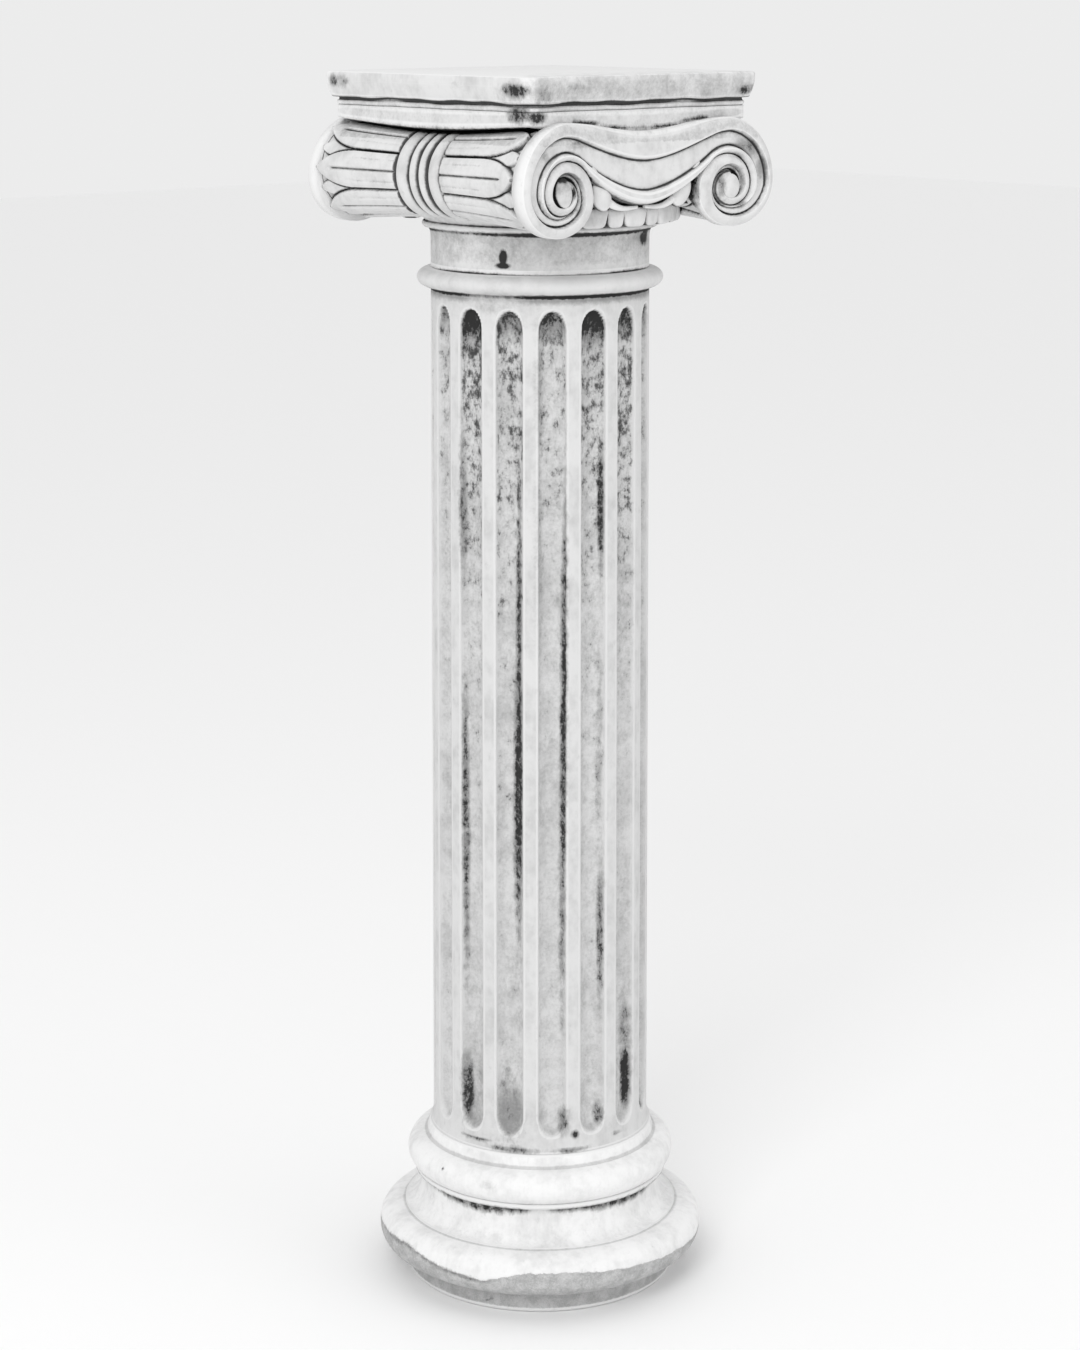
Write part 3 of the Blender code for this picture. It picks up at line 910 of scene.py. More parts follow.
class Effect:
    """Shader node group under construction."""

    def __init__(self, name: str) -> None:
        """Start an empty group.

        Args:
            name: Name of the group.
        """
        self.tree = bpy.data.node_groups.new(name, "ShaderNodeTree")
        self.entry = self.tree.nodes.new("NodeGroupInput")
        self.leave = self.tree.nodes.new("NodeGroupOutput")

    def number(self, name: str, default: float) -> Field:
        """Add a named number input.

        Args:
            name: Name of the input.
            default: Its value where the caller gives none.

        Returns:
            The input's value.
        """
        socket = self.tree.interface.new_socket(name, in_out="INPUT", socket_type="NodeSocketFloat")
        socket.default_value = default
        return Field(self.tree, self.entry.outputs[name])

    def vector(self, name: str) -> Field:
        """Add a named vector input."""
        self.tree.interface.new_socket(name, in_out="INPUT", socket_type="NodeSocketVector")
        return Field(self.tree, self.entry.outputs[name])

    def colour(self, name: str, default: float) -> Field:
        """Add a named colour input.

        Args:
            name: Name of the input.
            default: Grey level where the caller gives none.

        Returns:
            The input's colour.
        """
        socket = self.tree.interface.new_socket(name, in_out="INPUT", socket_type="NodeSocketColor")
        socket.default_value = (default, default, default, 1.0)
        return Field(self.tree, self.entry.outputs[name])

    def result(self, name: str, value: Field, kind: str = "NodeSocketFloat") -> None:
        """Add a named output.

        Args:
            name: Name of the output.
            value: What it carries.
            kind: Its socket type.
        """
        self.tree.interface.new_socket(name, in_out="OUTPUT", socket_type=kind)
        self.tree.links.new(value.socket, self.leave.inputs[name])

    def noise(self, place: Field, scale: float, detail: float = 3.0, roughness: float = 0.55) -> Field:
        """Soft random pattern.

        Args:
            place: Position in the pattern.
            scale: Waves a metre.
            detail: Number of finer layers.
            roughness: Strength of the finer layers.

        Returns:
            Values around one half.
        """
        node = add_node(self.tree, "ShaderNodeTexNoise",
                        {"Vector": place, "Scale": scale, "Detail": detail, "Roughness": roughness})
        return Field(self.tree, node.outputs[0])

    def stretched(self, place: Field, x: float, y: float, z: float) -> Field:
        """Position scaled along the three axes."""
        node = add_node(self.tree, "ShaderNodeVectorMath", {0: place, 1: (x, y, z)}, operation="MULTIPLY")
        return Field(self.tree, node.outputs[0])

    def blend(self, share: Field, first: Field, second: Field) -> Field:
        """Colour between two colours.

        Args:
            share: Zero for the first, one for the second.
            first: First colour.
            second: Second colour.

        Returns:
            The mixed colour.
        """
        node = self.tree.nodes.new("ShaderNodeMix")
        node.data_type = "RGBA"
        feed(self.tree, node.inputs[0], share)
        feed(self.tree, node.inputs[6], first)
        feed(self.tree, node.inputs[7], second)
        return Field(self.tree, node.outputs[2])


def limewash_effect() -> bpy.types.NodeTree:
    """Limewash brushed over cement: cloudy white, thinner on worn places.

    Returns:
        Group with the colour and height of the coat and the bare cement under it.
    """
    effect = Effect("limewash")
    place = effect.vector("Position")
    white = effect.colour("White", 0.8)
    thin = effect.colour("Thin Coat", 0.6)
    cement = effect.colour("Cement", 0.3)
    pale_cement = effect.colour("Pale Cement", 0.45)
    bare = effect.number("Bare", 0.0)
    clouds = effect.noise(place, 22.0, 4.0, 0.6)
    blots = effect.noise(place, 95.0, 3.0, 0.6)
    grain = effect.noise(place, 900.0, 2.0, 0.6)
    brushed = effect.noise(effect.stretched(place, 1.0, 1.0, 0.25), 160.0, 3.0, 0.6)
    worn = (clouds * 0.5 + blots * 0.3 + brushed * 0.2).eased(0.42, 0.68)
    coat = effect.blend(worn, white, thin)
    raw = effect.blend((blots * 0.6 + grain * 0.4).eased(0.35, 0.65), cement, pale_cement)
    edge = (bare + (blots - 0.5) * 0.5 + (grain - 0.5) * 0.25).eased(0.46, 0.56)
    effect.result("Color", effect.blend(edge, coat, raw), "NodeSocketColor")
    effect.result("Bare Mask", edge)
    lumps = effect.noise(place, 55.0, 3.0, 0.5)
    effect.result("Height", lumps * 0.5 + brushed * 0.2 + grain * 0.12 - edge * 0.35)
    return effect.tree


def grime_and_shade_effect() -> bpy.types.NodeTree:
    """Dirt and painted shade in creases, painted shade in sheltered hollows, and dirt in stained places.

    Returns:
        Group with the masks of the packed dirt and painted shade, of the grey film and painted shade around
        it, and of the painted highlight on ridges.
    """
    effect = Effect("grime_and_shade")
    place = effect.vector("Position")
    crease = effect.number("Crease", 0.0)
    hollow_value = effect.number("Hollow", 0.0)
    shelter = effect.number("Shelter", 0.0)
    stain = effect.number("Stain", 0.0)
    film = effect.number("Film", 0.0)
    crust = effect.number("Crust", 0.0)
    creases = effect.number("Crease Amount", 1.0)
    deep_shade_amount = effect.number("Deep Shade Amount", 1.0)
    veil_amount = effect.number("Film And Shade Amount", 1.0)
    speckles = effect.number("Speckle Amount", 0.2)
    patches = effect.noise(place, 70.0, 4.0, 0.65) - 0.5
    specks = effect.noise(place, 380.0, 3.0, 0.7) - 0.5
    ragged = patches * 0.9 + specks * 0.6
    # Dark lines in creases and carved lines: dirt, and painted shade where shade falls in them.
    lines = (crease + ragged * 0.9).eased(0.22, 1.25) * creases
    # Painted shade in sheltered places, from the closeness of nearby forms.
    deep_shade = (shelter + crease * 0.12 + ragged * 0.45).eased(0.48, 0.80) * deep_shade_amount
    blotches = effect.noise(effect.stretched(place, 1.0, 1.0, 0.6), 170.0, 4.0, 0.75) - 0.5
    packed = (stain + blotches * 1.5 + specks * 0.7).eased(0.60, 0.92) * 0.94
    flaky = (crust * 0.56 + blotches * 1.7 + patches * 0.9).eased(0.42, 0.80)
    crumbs = flaky * crust.eased(0.0, 0.3) * 0.85
    dots = (specks + patches * 0.5).eased(0.26, 0.34) * speckles
    dark = lines.at_least(deep_shade).at_least(packed).at_least(crumbs).at_least(dots).at_most(1.0)
    # Grey film: dust, plus painted shade in sheltered places and broad hollows.
    veil = shelter * 0.8 + hollow_value * 0.25 + film + crust * (blotches * 1.8 + 0.32) + ragged * 1.05
    wash = (stain + blotches * 1.1 + patches * 0.6).eased(0.08, 0.80) * 0.85
    effect.result("Dark Mask", dark)
    effect.result("Film And Shade Mask", (veil.eased(0.06, 1.10) * veil_amount).at_least(wash).at_most(1.0))
    # Painted highlight: convex ridges turn lighter.
    effect.result("Ridge Highlight Mask", (crease * -1.0 + specks * 0.4).eased(0.30, 0.80))
    return effect.tree


@dataclass(frozen=True)
class CastStone:
    """Finish of cast stone under old limewash.

    Attributes:
        name: Name of the material.
        white: Grey level of the thick limewash.
        thin: Grey level of the worn limewash.
        cement: Grey level of the bare cement.
        pale_cement: Grey level of its lighter parts.
        ridge_highlight: Grey level of the painted highlight on ridges.
        film: Grey level of the dusty film, and of the painted shade in sheltered places and hollows.
        grime_and_shade: Grey level of packed dirt, and of the painted shade in creases and sheltered
            places.
        crease_amount: Strength of the dark lines of dirt and painted shade.
        deep_shade_amount: Strength of the painted shade in sheltered places.
        film_and_shade_amount: Strength of the film and its painted shade.
        speckle_amount: Strength of the small dots.
        relief: Depth of the surface's small bumps.
    """

    name: str
    white: float = 0.70
    thin: float = 0.54
    cement: float = 0.35
    pale_cement: float = 0.53
    ridge_highlight: float = 0.78
    film: float = 0.17
    grime_and_shade: float = 0.012
    crease_amount: float = 0.9
    deep_shade_amount: float = 1.0
    film_and_shade_amount: float = 0.8
    speckle_amount: float = 0.25
    relief: float = 0.0012

    def build(self, limewash: bpy.types.NodeTree, grime_and_shade: bpy.types.NodeTree) -> bpy.types.Material:
        """Make the material.

        Args:
            limewash: Shared group for the coat.
            grime_and_shade: Shared group for the dirt and painted shade.

        Returns:
            The material.
        """
        material = bpy.data.materials.new(self.name)
        material.use_nodes = True
        tree = material.node_tree
        shader = tree.nodes["Principled BSDF"]
        place = tree.nodes.new("ShaderNodeTexCoord").outputs["Object"]
        values = {name: self.reading(tree, name) for name in
                  ("crease", "hollow", "shelter", "stain", "film", "crust", "bare")}
        coat = add_node(tree, "ShaderNodeGroup", {}, node_tree=limewash)
        for name, value in (("Position", place), ("White", grey(self.white)),
                            ("Thin Coat", grey(self.thin)), ("Cement", grey(self.cement)),
                            ("Pale Cement", grey(self.pale_cement)), ("Bare", values["bare"])):
            feed(tree, coat.inputs[name], value)
        dirt_and_shade = add_node(tree, "ShaderNodeGroup", {}, node_tree=grime_and_shade)
        for name, value in (("Position", place), ("Crease", values["crease"]), ("Hollow", values["hollow"]),
                            ("Shelter", values["shelter"]), ("Stain", values["stain"]),
                            ("Film", values["film"]), ("Crust", values["crust"]),
                            ("Crease Amount", self.crease_amount), ("Deep Shade Amount", self.deep_shade_amount),
                            ("Film And Shade Amount", self.film_and_shade_amount),
                            ("Speckle Amount", self.speckle_amount)):
            feed(tree, dirt_and_shade.inputs[name], value)
        # Painted highlight on ridges: the coat turns lighter where the surface bulges.
        highlighted = self.mixed(tree, dirt_and_shade.outputs["Ridge Highlight Mask"], coat.outputs["Color"], grey(self.ridge_highlight))
        # Grey film of dust and painted shade.
        filmed = self.mixed(tree, dirt_and_shade.outputs["Film And Shade Mask"], highlighted, grey(self.film))
        # Dark dirt and painted shade.
        colour = self.mixed(tree, dirt_and_shade.outputs["Dark Mask"], filmed, grey(self.grime_and_shade))
        tree.links.new(colour, shader.inputs["Base Color"])
        dull = add_node(tree, "ShaderNodeMapRange",
                        {"Value": coat.outputs["Bare Mask"], "To Min": 0.78, "To Max": 0.94})
        tree.links.new(dull.outputs["Result"], shader.inputs["Roughness"])
        shader.inputs["Specular IOR Level"].default_value = 0.25
        bump = add_node(tree, "ShaderNodeBump",
                        {"Height": coat.outputs["Height"], "Distance": self.relief, "Strength": 1.0})
        tree.links.new(bump.outputs[0], shader.inputs["Normal"])
        return material

    @staticmethod
    def reading(tree: bpy.types.NodeTree, name: str) -> bpy.types.NodeSocket:
        """Value kept on the mesh's points."""
        return add_node(tree, "ShaderNodeAttribute", {}, attribute_name=name).outputs["Fac"]

    @staticmethod
    def mixed(tree: bpy.types.NodeTree, share: bpy.types.NodeSocket, first: object,
              second: object) -> bpy.types.NodeSocket:
        """Colour between two colours.

        Args:
            tree: Material's node tree.
            share: Zero for the first, one for the second.
            first: First colour.
            second: Second colour.

        Returns:
            Socket of the mixed colour.
        """
        node = tree.nodes.new("ShaderNodeMix")
        node.data_type = "RGBA"
        for position, value in ((0, share), (6, first), (7, second)):
            feed(tree, node.inputs[position], value)
        return node.outputs[2]


def grey(level: float) -> tuple[float, float, float, float]:
    """Neutral colour."""
    return (level, level, level, 1.0)


# Pieces of the column


@dataclass
class Base:
    """Turned base: bottom disc, two tori, a scotia and a thin fillet."""

    height: float = 0.137
    disc_radius: float = 0.118
    disc_height: float = 0.0205
    lower_radius: float = 0.1433
    lower_bulge: float = 0.0226
    lower_height: float = 0.0388
    line_step: float = 0.0015
    scotia_height: float = 0.0225
    scotia_radius: float = 0.1055
    undercut_height: float = 0.0090
    fillet_radius: float = 0.1112
    fillet_height: float = 0.0042
    upper_radius: float = 0.1176
    upper_bulge: float = 0.0156
    upper_half: float = 0.0155
    step_width: float = 0.0014
    step_height: float = 0.0012
    joint_radius: float = 0.0975
    columns: int = 420
    spacing: float = 0.0019
    unevenness: float = 0.0005

    def outline(self) -> list[tuple[float, float]]:
        """Outline from the middle of the underside to the middle of the bed.

        Returns:
            Points (radius, height).
        """
        half = self.lower_height / 2
        torus = (self.lower_radius - self.lower_bulge, self.disc_height + half)
        line_foot = self.disc_height + self.lower_height
        scotia_foot = (torus[0] - self.line_step, line_foot + self.line_step)
        scotia_head = (self.scotia_radius, scotia_foot[1] + self.scotia_height)
        fillet_foot = scotia_head[1] + self.undercut_height
        fillet_head = fillet_foot + self.fillet_height
        axis = self.upper_radius - self.upper_bulge
        level = fillet_head + self.upper_half * sin(radians(60.0))
        step_foot = level + self.upper_half
        points = [(0.0, 0.0), (self.disc_radius - 0.002, 0.0), (self.disc_radius, 0.002)]
        points.append((self.disc_radius, self.disc_height))
        points += arc(torus, self.lower_bulge, half, -84.0, 90.0, 34, 0.9)
        points.append((torus[0], scotia_foot[1]))
        points += hollow(scotia_foot, scotia_head, 16)
        points.append((self.scotia_radius, fillet_foot))
        points.append((self.fillet_radius, fillet_foot))
        points.append((self.fillet_radius, fillet_head))
        points += arc((axis, level), self.upper_bulge, self.upper_half, -60.0, 90.0, 24)
        points.append((axis - self.step_width, step_foot + self.step_height))
        points += [(self.joint_radius, self.height), (0.0, self.height)]
        return filled(points, self.spacing)

    def marks(self, points: np.ndarray) -> dict[str, np.ndarray]:
        """Bare lower parts up to a ragged edge, and the dirt under the fillet.

        Args:
            points: Array of positions.

        Returns:
            Values of stain, film and bare.
        """
        angle = np.degrees(np.arctan2(points[:, 1], points[:, 0])) % 360.0
        height = points[:, 2]
        edge = np.interp(angle, (0, 60, 120, 160, 174, 191, 207, 216, 224, 244, 265, 281, 300, 360),
                         (0.040, 0.034, 0.043, 0.046, 0.048, 0.0415, 0.037, 0.043, 0.0475, 0.046, 0.043,
                          0.041, 0.039, 0.040))
        bare = np.clip(0.5 + (edge - height) / 0.010, 0.0, 1.0)
        scotia_head = self.disc_height + self.lower_height + self.line_step + self.scotia_height
        fillet_foot = scotia_head + self.undercut_height
        reach = np.hypot(points[:, 0], points[:, 1])
        under = np.clip((fillet_foot + 0.0006 - height) / 0.001, 0.0, 1.0)
        lower = scotia_head - 0.001 + 0.0025 * np.sin(np.radians(angle) * 5.0)
        under = under * np.clip((height - lower) / 0.006, 0.0, 1.0) * (reach < self.fillet_radius + 0.001)
        patchy = np.interp(angle, (0, 60, 110, 160, 222, 225, 230, 234, 300, 360),
                           (0.8, 0.4, 0.9, 1.0, 0.95, 0.3, 0.3, 1.0, 1.0, 0.8))
        crevice = np.clip(1.0 - np.abs(height - self.disc_height) / 0.004, 0.0, 1.0)
        frayed = np.interp(angle, (0, 150, 165, 205, 215, 360), (0.25, 0.3, 0.62, 0.62, 0.25, 0.25))
        frayed = frayed * np.clip(1.0 - np.abs(height - edge + 0.0010) / 0.0035, 0.0, 1.0)
        return {"bare": bare, "stain": 0.80 * under * patchy + 0.50 * crevice + frayed,
                "film": np.maximum(0.6 * under * patchy, 0.4 * crevice)}

    def build(self, material: bpy.types.Material) -> bpy.types.Object:
        """Make and dress the base.

        Args:
            material: Its finish.

        Returns:
            The finished object.
        """
        outline = self.outline()
        mesh = TurnedTree("turned", material).shape(
            "base_stone_piece", outline_mesh(outline),
            {"Around": self.columns, "Rows": len(outline), "Unevenness": self.unevenness,
             "Unevenness Scale": 22.0, "Seed": 4.0})
        stains = tuple(drum_stain(*mark) for mark in (
            (181.0, 0.1160, 0.117, 0.0015, 0.0015, 0.9),
            (205.0, 0.1180, 0.0075, 0.0016, 0.0014, 0.9),
            (207.0, 0.1180, 0.0100, 0.0014, 0.0012, 0.9),
        ))
        smudges = tuple(drum_stain(*mark) for mark in (
            (204.0, 0.1165, 0.113, 0.012, 0.004, 0.5),
            (250.0, 0.1165, 0.110, 0.020, 0.005, 0.3),
            (30.0, 0.1165, 0.113, 0.018, 0.006, 0.45),
            (100.0, 0.1165, 0.112, 0.014, 0.004, 0.5),
        ))
        Weather(stains, smudges).settle(mesh, self.marks)
        return adopt(link("column_base", mesh), "base")


@dataclass
class Shaft:
    """Fluted shaft between the base and the capital, with its astragal."""

    foot: float
    head: float
    joint_radius: float = 0.0975
    foot_radius: float = 0.0948
    top_radius: float = 0.0915
    flare_height: float = 0.0125
    flutes: int = 16
    flute_share: float = 0.65
    flute_depth: float = 0.0085
    flute_turn: float = radians(-2.0)
    foot_margin: float = 0.0145
    head_margin: float = 0.0285
    flute_end: float = 0.0175
    astragal_radius: float = 0.1032
    astragal_height: float = 0.0165
    unevenness: float = 0.0006
    fine_row: float = 0.0012
    foot_rows: int = 17
    body_rows: int = 164
    head_rows: int = 21
    head_reach: float = 0.0255

    def marks(self, points: np.ndarray) -> dict[str, np.ndarray]:
        """Crusty flutes, black flute heads and the dark line under the astragal.

        Args:
            points: Array of positions.

        Returns:
            Values of stain, film and crust.
        """
        angle = (np.arctan2(points[:, 1], points[:, 0]) - self.flute_turn) % TURN
        height = points[:, 2]
        share = (height - self.foot) / (self.head - self.foot)
        body = self.foot_radius + (self.top_radius - self.foot_radius) * share
        inside = np.clip((body - np.hypot(points[:, 0], points[:, 1])) / self.flute_depth, 0.0, 1.0)
        flute = np.floor(angle / TURN * self.flutes).astype(int) % self.flutes
        chance = np.random.default_rng(21)
        crusty = chance.uniform(0.65, 1.05, self.flutes)[flute]
        sooty = chance.uniform(0.60, 1.40, self.flutes)
        sooty[7:14] = (0.80, 1.20, 0.90, 0.90, 1.15, 1.00, 0.90)
        flute_head = self.head - self.head_margin
        near_head = np.clip(1.0 - (flute_head - height) / (0.014 + 0.026 * sooty[flute]), 0.0, 1.0)
        inside_wide = np.clip(inside * 2.5, 0.0, 1.0)
        upper = np.clip((share - 0.35) / 0.55, 0.0, 1.0)
        crust = inside_wide * crusty * (0.34 + 0.66 * upper ** 1.3)
        stain = inside_wide * near_head ** 0.6 * sooty[flute]
        collar_foot = self.head - self.astragal_height
        degrees = np.degrees(np.arctan2(points[:, 1], points[:, 0])) % 360.0
        collar = np.interp(degrees, (0, 90, 150, 172, 186, 192, 214, 226, 300, 330, 360),
                           (0.5, 1.0, 0.95, 0.95, 0.9, 0.5, 0.55, 1.1, 1.1, 0.9, 0.5))
        # Dark line and grey band under the astragal: dirt and painted shade under its bulge.
        line = np.clip(1.0 - np.abs(height - collar_foot + 0.0008) / 0.0032, 0.0, 1.0)
        under = np.clip(1.0 - np.abs(height - collar_foot + 0.004) / 0.006, 0.0, 1.0)
        return {"stain": np.maximum(stain, 1.45 * line * collar), "crust": crust,
                "film": np.maximum(0.05 * inside_wide, 0.9 * under * collar)}

    def outline(self) -> list[tuple[float, float]]:
        """Outline from the middle of the foot to the middle of the head.

        Returns:
            Points (radius, height).
        """
        body_foot = self.foot + self.flare_height
        body_head = self.head - self.astragal_height
        half = self.astragal_height / 2
        bulge = self.astragal_radius - self.top_radius
        points = [(0.0, self.foot)]
        points += hollow((self.joint_radius, self.foot), (self.foot_radius, body_foot), 8)
        body = [body_foot + self.fine_row * step for step in range(1, self.foot_rows + 1)]
        body += list(np.linspace(body[-1], body_head - self.head_reach, self.body_rows + 1)[1:])
        body += [body[-1] + self.fine_row * step for step in range(1, self.head_rows + 1)]
        for height in body:
            share = (height - body_foot) / (body_head - body_foot)
            points.append((self.foot_radius + (self.top_radius - self.foot_radius) * share, height))
        points += arc((self.top_radius, body_head + half), bulge, half, -90.0, 90.0, 20)
        points.append((0.0, self.head))
        return points

    def build(self, material: bpy.types.Material) -> bpy.types.Object:
        """Make and dress the shaft.

        Args:
            material: Its finish.

        Returns:
            The finished object.
        """
        outline = self.outline()
        columns = self.flutes * (FlutedTree.HOLLOW_COLUMNS + FlutedTree.FLAT_COLUMNS)
        mesh = FlutedTree("fluted", material).shape(
            "shaft_stone_piece", outline_mesh(outline),
            {"Around": columns, "Rows": len(outline), "Unevenness": self.unevenness,
             "Unevenness Scale": 16.0, "Seed": 9.0, "Flute Share": self.flute_share,
             "Flute Turn": self.flute_turn, "Flute Depth": self.flute_depth,
             "Flute Foot": self.foot + self.foot_margin, "Flute Head": self.head - self.head_margin,
             "Flute End": self.flute_end})
        stains = tuple(drum_stain(*mark) for mark in (
            (183.0, 0.089, 0.42, 0.0038, 0.14, 0.72),
            (183.4, 0.090, 0.70, 0.0045, 0.08, 0.66),
            (184.0, 0.090, 0.185, 0.0060, 0.034, 0.86),
            (216.3, 0.086, 0.54, 0.0040, 0.21, 0.82),
            (216.0, 0.087, 0.46, 0.0055, 0.13, 0.92),
            (240.2, 0.090, 0.53, 0.0042, 0.21, 0.84),
            (239.5, 0.090, 0.40, 0.0040, 0.16, 0.66),
            (240.2, 0.092, 0.166, 0.0060, 0.014, 0.70),
            (262.6, 0.088, 0.70, 0.0034, 0.06, 0.88),
            (262.0, 0.088, 0.50, 0.0035, 0.12, 0.42),
            (262.5, 0.090, 0.33, 0.0036, 0.07, 0.74),
            (261.8, 0.090, 0.167, 0.0050, 0.012, 0.75),
            (284.0, 0.089, 0.192, 0.0050, 0.030, 1.02),
            (284.0, 0.089, 0.23, 0.0060, 0.050, 0.60),
            (282.0, 0.089, 0.62, 0.0070, 0.07, 0.42),
            (303.0, 0.090, 0.165, 0.004, 0.016, 0.9),
            (170.0, 0.090, 0.19, 0.006, 0.030, 0.50),
            (246.7, 0.094, 0.153, 0.004, 0.004, 0.85),
            (212.0, 0.088, 0.158, 0.010, 0.018, 0.46),
            (210.0, 0.088, 0.185, 0.009, 0.040, 0.50),
            (192.0, 0.096, 0.1445, 0.014, 0.0018, 0.85),
            (214.0, 0.096, 0.1400, 0.022, 0.0030, 0.72),
            (244.0, 0.096, 0.1395, 0.016, 0.0022, 0.65),
            (272.0, 0.096, 0.1460, 0.008, 0.0020, 0.60),
            (15.0, 0.088, 0.60, 0.0045, 0.12, 0.75),
            (66.0, 0.088, 0.35, 0.0050, 0.14, 0.80),
            (112.0, 0.088, 0.50, 0.0045, 0.10, 0.75),
            (340.0, 0.089, 0.24, 0.0055, 0.05, 0.9),
        ))
        smudges = tuple(drum_stain(*mark) for mark in (
            (189.0, 0.088, 0.180, 0.012, 0.040, 0.3),
            (211.0, 0.088, 0.168, 0.014, 0.026, 0.62),
            (205.0, 0.092, 0.864, 0.026, 0.0060, 0.4),
            (228.0, 0.092, 0.800, 0.006, 0.060, 0.60),
            (228.0, 0.093, 0.66, 0.006, 0.100, 0.55),
            (120.0, 0.088, 0.190, 0.012, 0.035, 0.5),
            (20.0, 0.088, 0.200, 0.012, 0.045, 0.5),
        ))
        Weather(stains, smudges).settle(mesh, self.marks)
        return adopt(link("column_shaft", mesh), "shaft")


@dataclass
class Scroll:
    """Spiral of the volutes, which shrinks by one ratio each quarter turn round its eye."""

    level: float
    spread: float = 0.0925
    radius: float = 0.0565
    ratio: float = 0.8255
    inward: float = 1.06
    downward: float = 0.84

    def edge(self, turns: np.ndarray) -> np.ndarray:
        """Outer edge of the right scroll.

        Args:
            turns: Quarter turns from the top, clockwise.

        Returns:
            Array of (x, z).
        """
        angle = pi / 2 - turns * pi / 2
        reach = self.radius * self.ratio ** turns
        across = reach * np.cos(angle) * np.where(np.cos(angle) > 0.0, 1.0, self.inward)
        up = reach * np.sin(angle) * np.where(np.sin(angle) > 0.0, 1.0, self.downward)
        return np.stack((self.spread + across, self.level + up), axis=-1)


@dataclass
class VoluteFace:
    """Carved face of the capital: scroll, channel and scroll on one plate.

    The rims and floors are shares of the band's width at each of the stations, which are quarter
    turns along the band: negative along the channel, zero at the top of the scroll.
    """

    scroll: Scroll
    distance: float = 0.1300
    flare: float = 0.0030
    thickness: float = 0.0085
    middle_thickness: float = 0.0205
    thinning: tuple[float, float] = (0.0520, 0.0640)
    sag: float = 0.0088
    channel_height: float = 0.0588
    floor_depth: float = 0.0036
    groove_depth: float = 0.0015
    groove_width: float = 0.0011
    line_width: float = 0.0009
    groove_dirt: float = 0.55
    step_width: float = 0.0012
    edge_depth: float = 0.0036
    edge_width: float = 0.0062
    seam_depth: float = 0.0058
    seam_width: float = 0.0040
    seam_shadow_width: float = 0.0012
    seam_shadow: float = 1.15
    floor_dirt: float = 0.50
    turn_dirt: float = 1.2
    crown_share: float = 0.80
    last_quarter: float = 8.0
    stations: tuple[float, ...] = (-2.0, -1.0, 0.0, 1.0, 2.0, 3.0, 4.0, 5.0, 6.0, 8.0)
    rims: tuple[float, ...] = (0.37, 0.36, 0.34, 0.28, 0.46, 0.64, 0.54, 0.58, 0.80, 1.0)
    floors: tuple[float, ...] = (0.43, 0.43, 0.43, 0.44, 0.40, 0.36, 0.34, 0.42, 0.20, 0.0)
    eye_radius: float = 0.0108
    eye_proud: float = 0.0056

    def channel(self, share: np.ndarray) -> tuple[np.ndarray, np.ndarray]:
        """Upper and lower edge of the channel.

        Args:
            share: Zero at its middle, one at the scroll.

        Returns:
            Two arrays of (x, z).
        """
        last = self.scroll.edge(np.array(3.5))
        crown = self.scroll.level + self.scroll.radius
        run = self.scroll.spread * self.crown_share
        fall = self.sag * 0.5 * (1.0 + np.cos(pi * share * self.crown_share))
        top = np.stack((run * share, crown - fall), axis=-1)
        low = np.array((0.0, crown - self.sag - self.channel_height))
        leave = np.array((last[0] * 0.95, 0.0))
        arrive = np.array((last[0] * 0.62, last[0] * 0.62))
        square, cube = share[:, None] ** 2, share[:, None] ** 3
        bottom = low * (2 * cube - 3 * square + 1) + leave * (cube - 2 * square + share[:, None])
        bottom += last * (3 * square - 2 * cube) + arrive * (cube - square)
        return top, bottom

    def sections(self) -> tuple[np.ndarray, np.ndarray, np.ndarray]:
        """Edges of the band from the middle of the channel to the eye.

        Returns:
            Outer edge, inner edge, and the quarter turns, which are negative along the channel.
        """
        share = np.linspace(0.0, 1.0, 60, endpoint=False)
        top, bottom = self.channel(share)
        last_top = self.channel(np.array([1.0]))[0][0]
        crown = self.scroll.edge(np.array(0.0))
        near = np.linspace(0.0, 1.0, 16, endpoint=False)
        join = np.stack((last_top[0] + (crown[0] - last_top[0]) * near,
                         last_top[1] + (crown[1] - last_top[1]) * np.sin(near * pi / 2)), axis=-1)
        turns = np.linspace(0.0, self.last_quarter, 340)
        outer = np.concatenate((top, join, self.scroll.edge(turns)))
        inner = np.concatenate((bottom, self.scroll.edge(3.5 + near / 2), self.scroll.edge(turns + 4.0)))
        quarters = np.concatenate((share - 2.0, near - 1.0, turns))
        return outer, inner, quarters

    def carving(self, share: np.ndarray, width: np.ndarray,
                quarter: np.ndarray) -> tuple[np.ndarray, np.ndarray]:
        """Carving across the band.

        Args:
            share: Place across the band, zero at its outer edge.
            width: Width of the band there.
            quarter: Quarter turns along the scroll.

        Returns:
            Depth below the face, and the strength of the dark lines: dirt, and painted shadow along the
            seam.
        """
        rim = np.interp(quarter, self.stations, self.rims)
        floor = np.interp(quarter, self.stations, self.floors)
        left, right = share * width, (1.0 - share) * width
        first = (share - rim) * width
        second = (share - rim - floor) * width
        step = self.step_width
        lowered = np.clip(first / step, 0.0, 1.0) * np.clip(-second / step + 1.0, 0.0, 1.0)
        carved = self.floor_depth * lowered
        lines = np.zeros(carved.shape)
        for distance in (first - step, second):
            carved = carved + self.groove_depth * np.exp(-(distance / self.groove_width) ** 2)
            lines = np.maximum(lines, self.groove_dirt * np.exp(-(distance / self.line_width) ** 2))
        carved = carved + self.edge_depth * np.clip(1.0 - left / self.edge_width, 0.0, 1.0) ** 2
        carved = carved + self.seam_depth * np.clip(1.0 - right / self.seam_width, 0.0, 1.0) ** 2
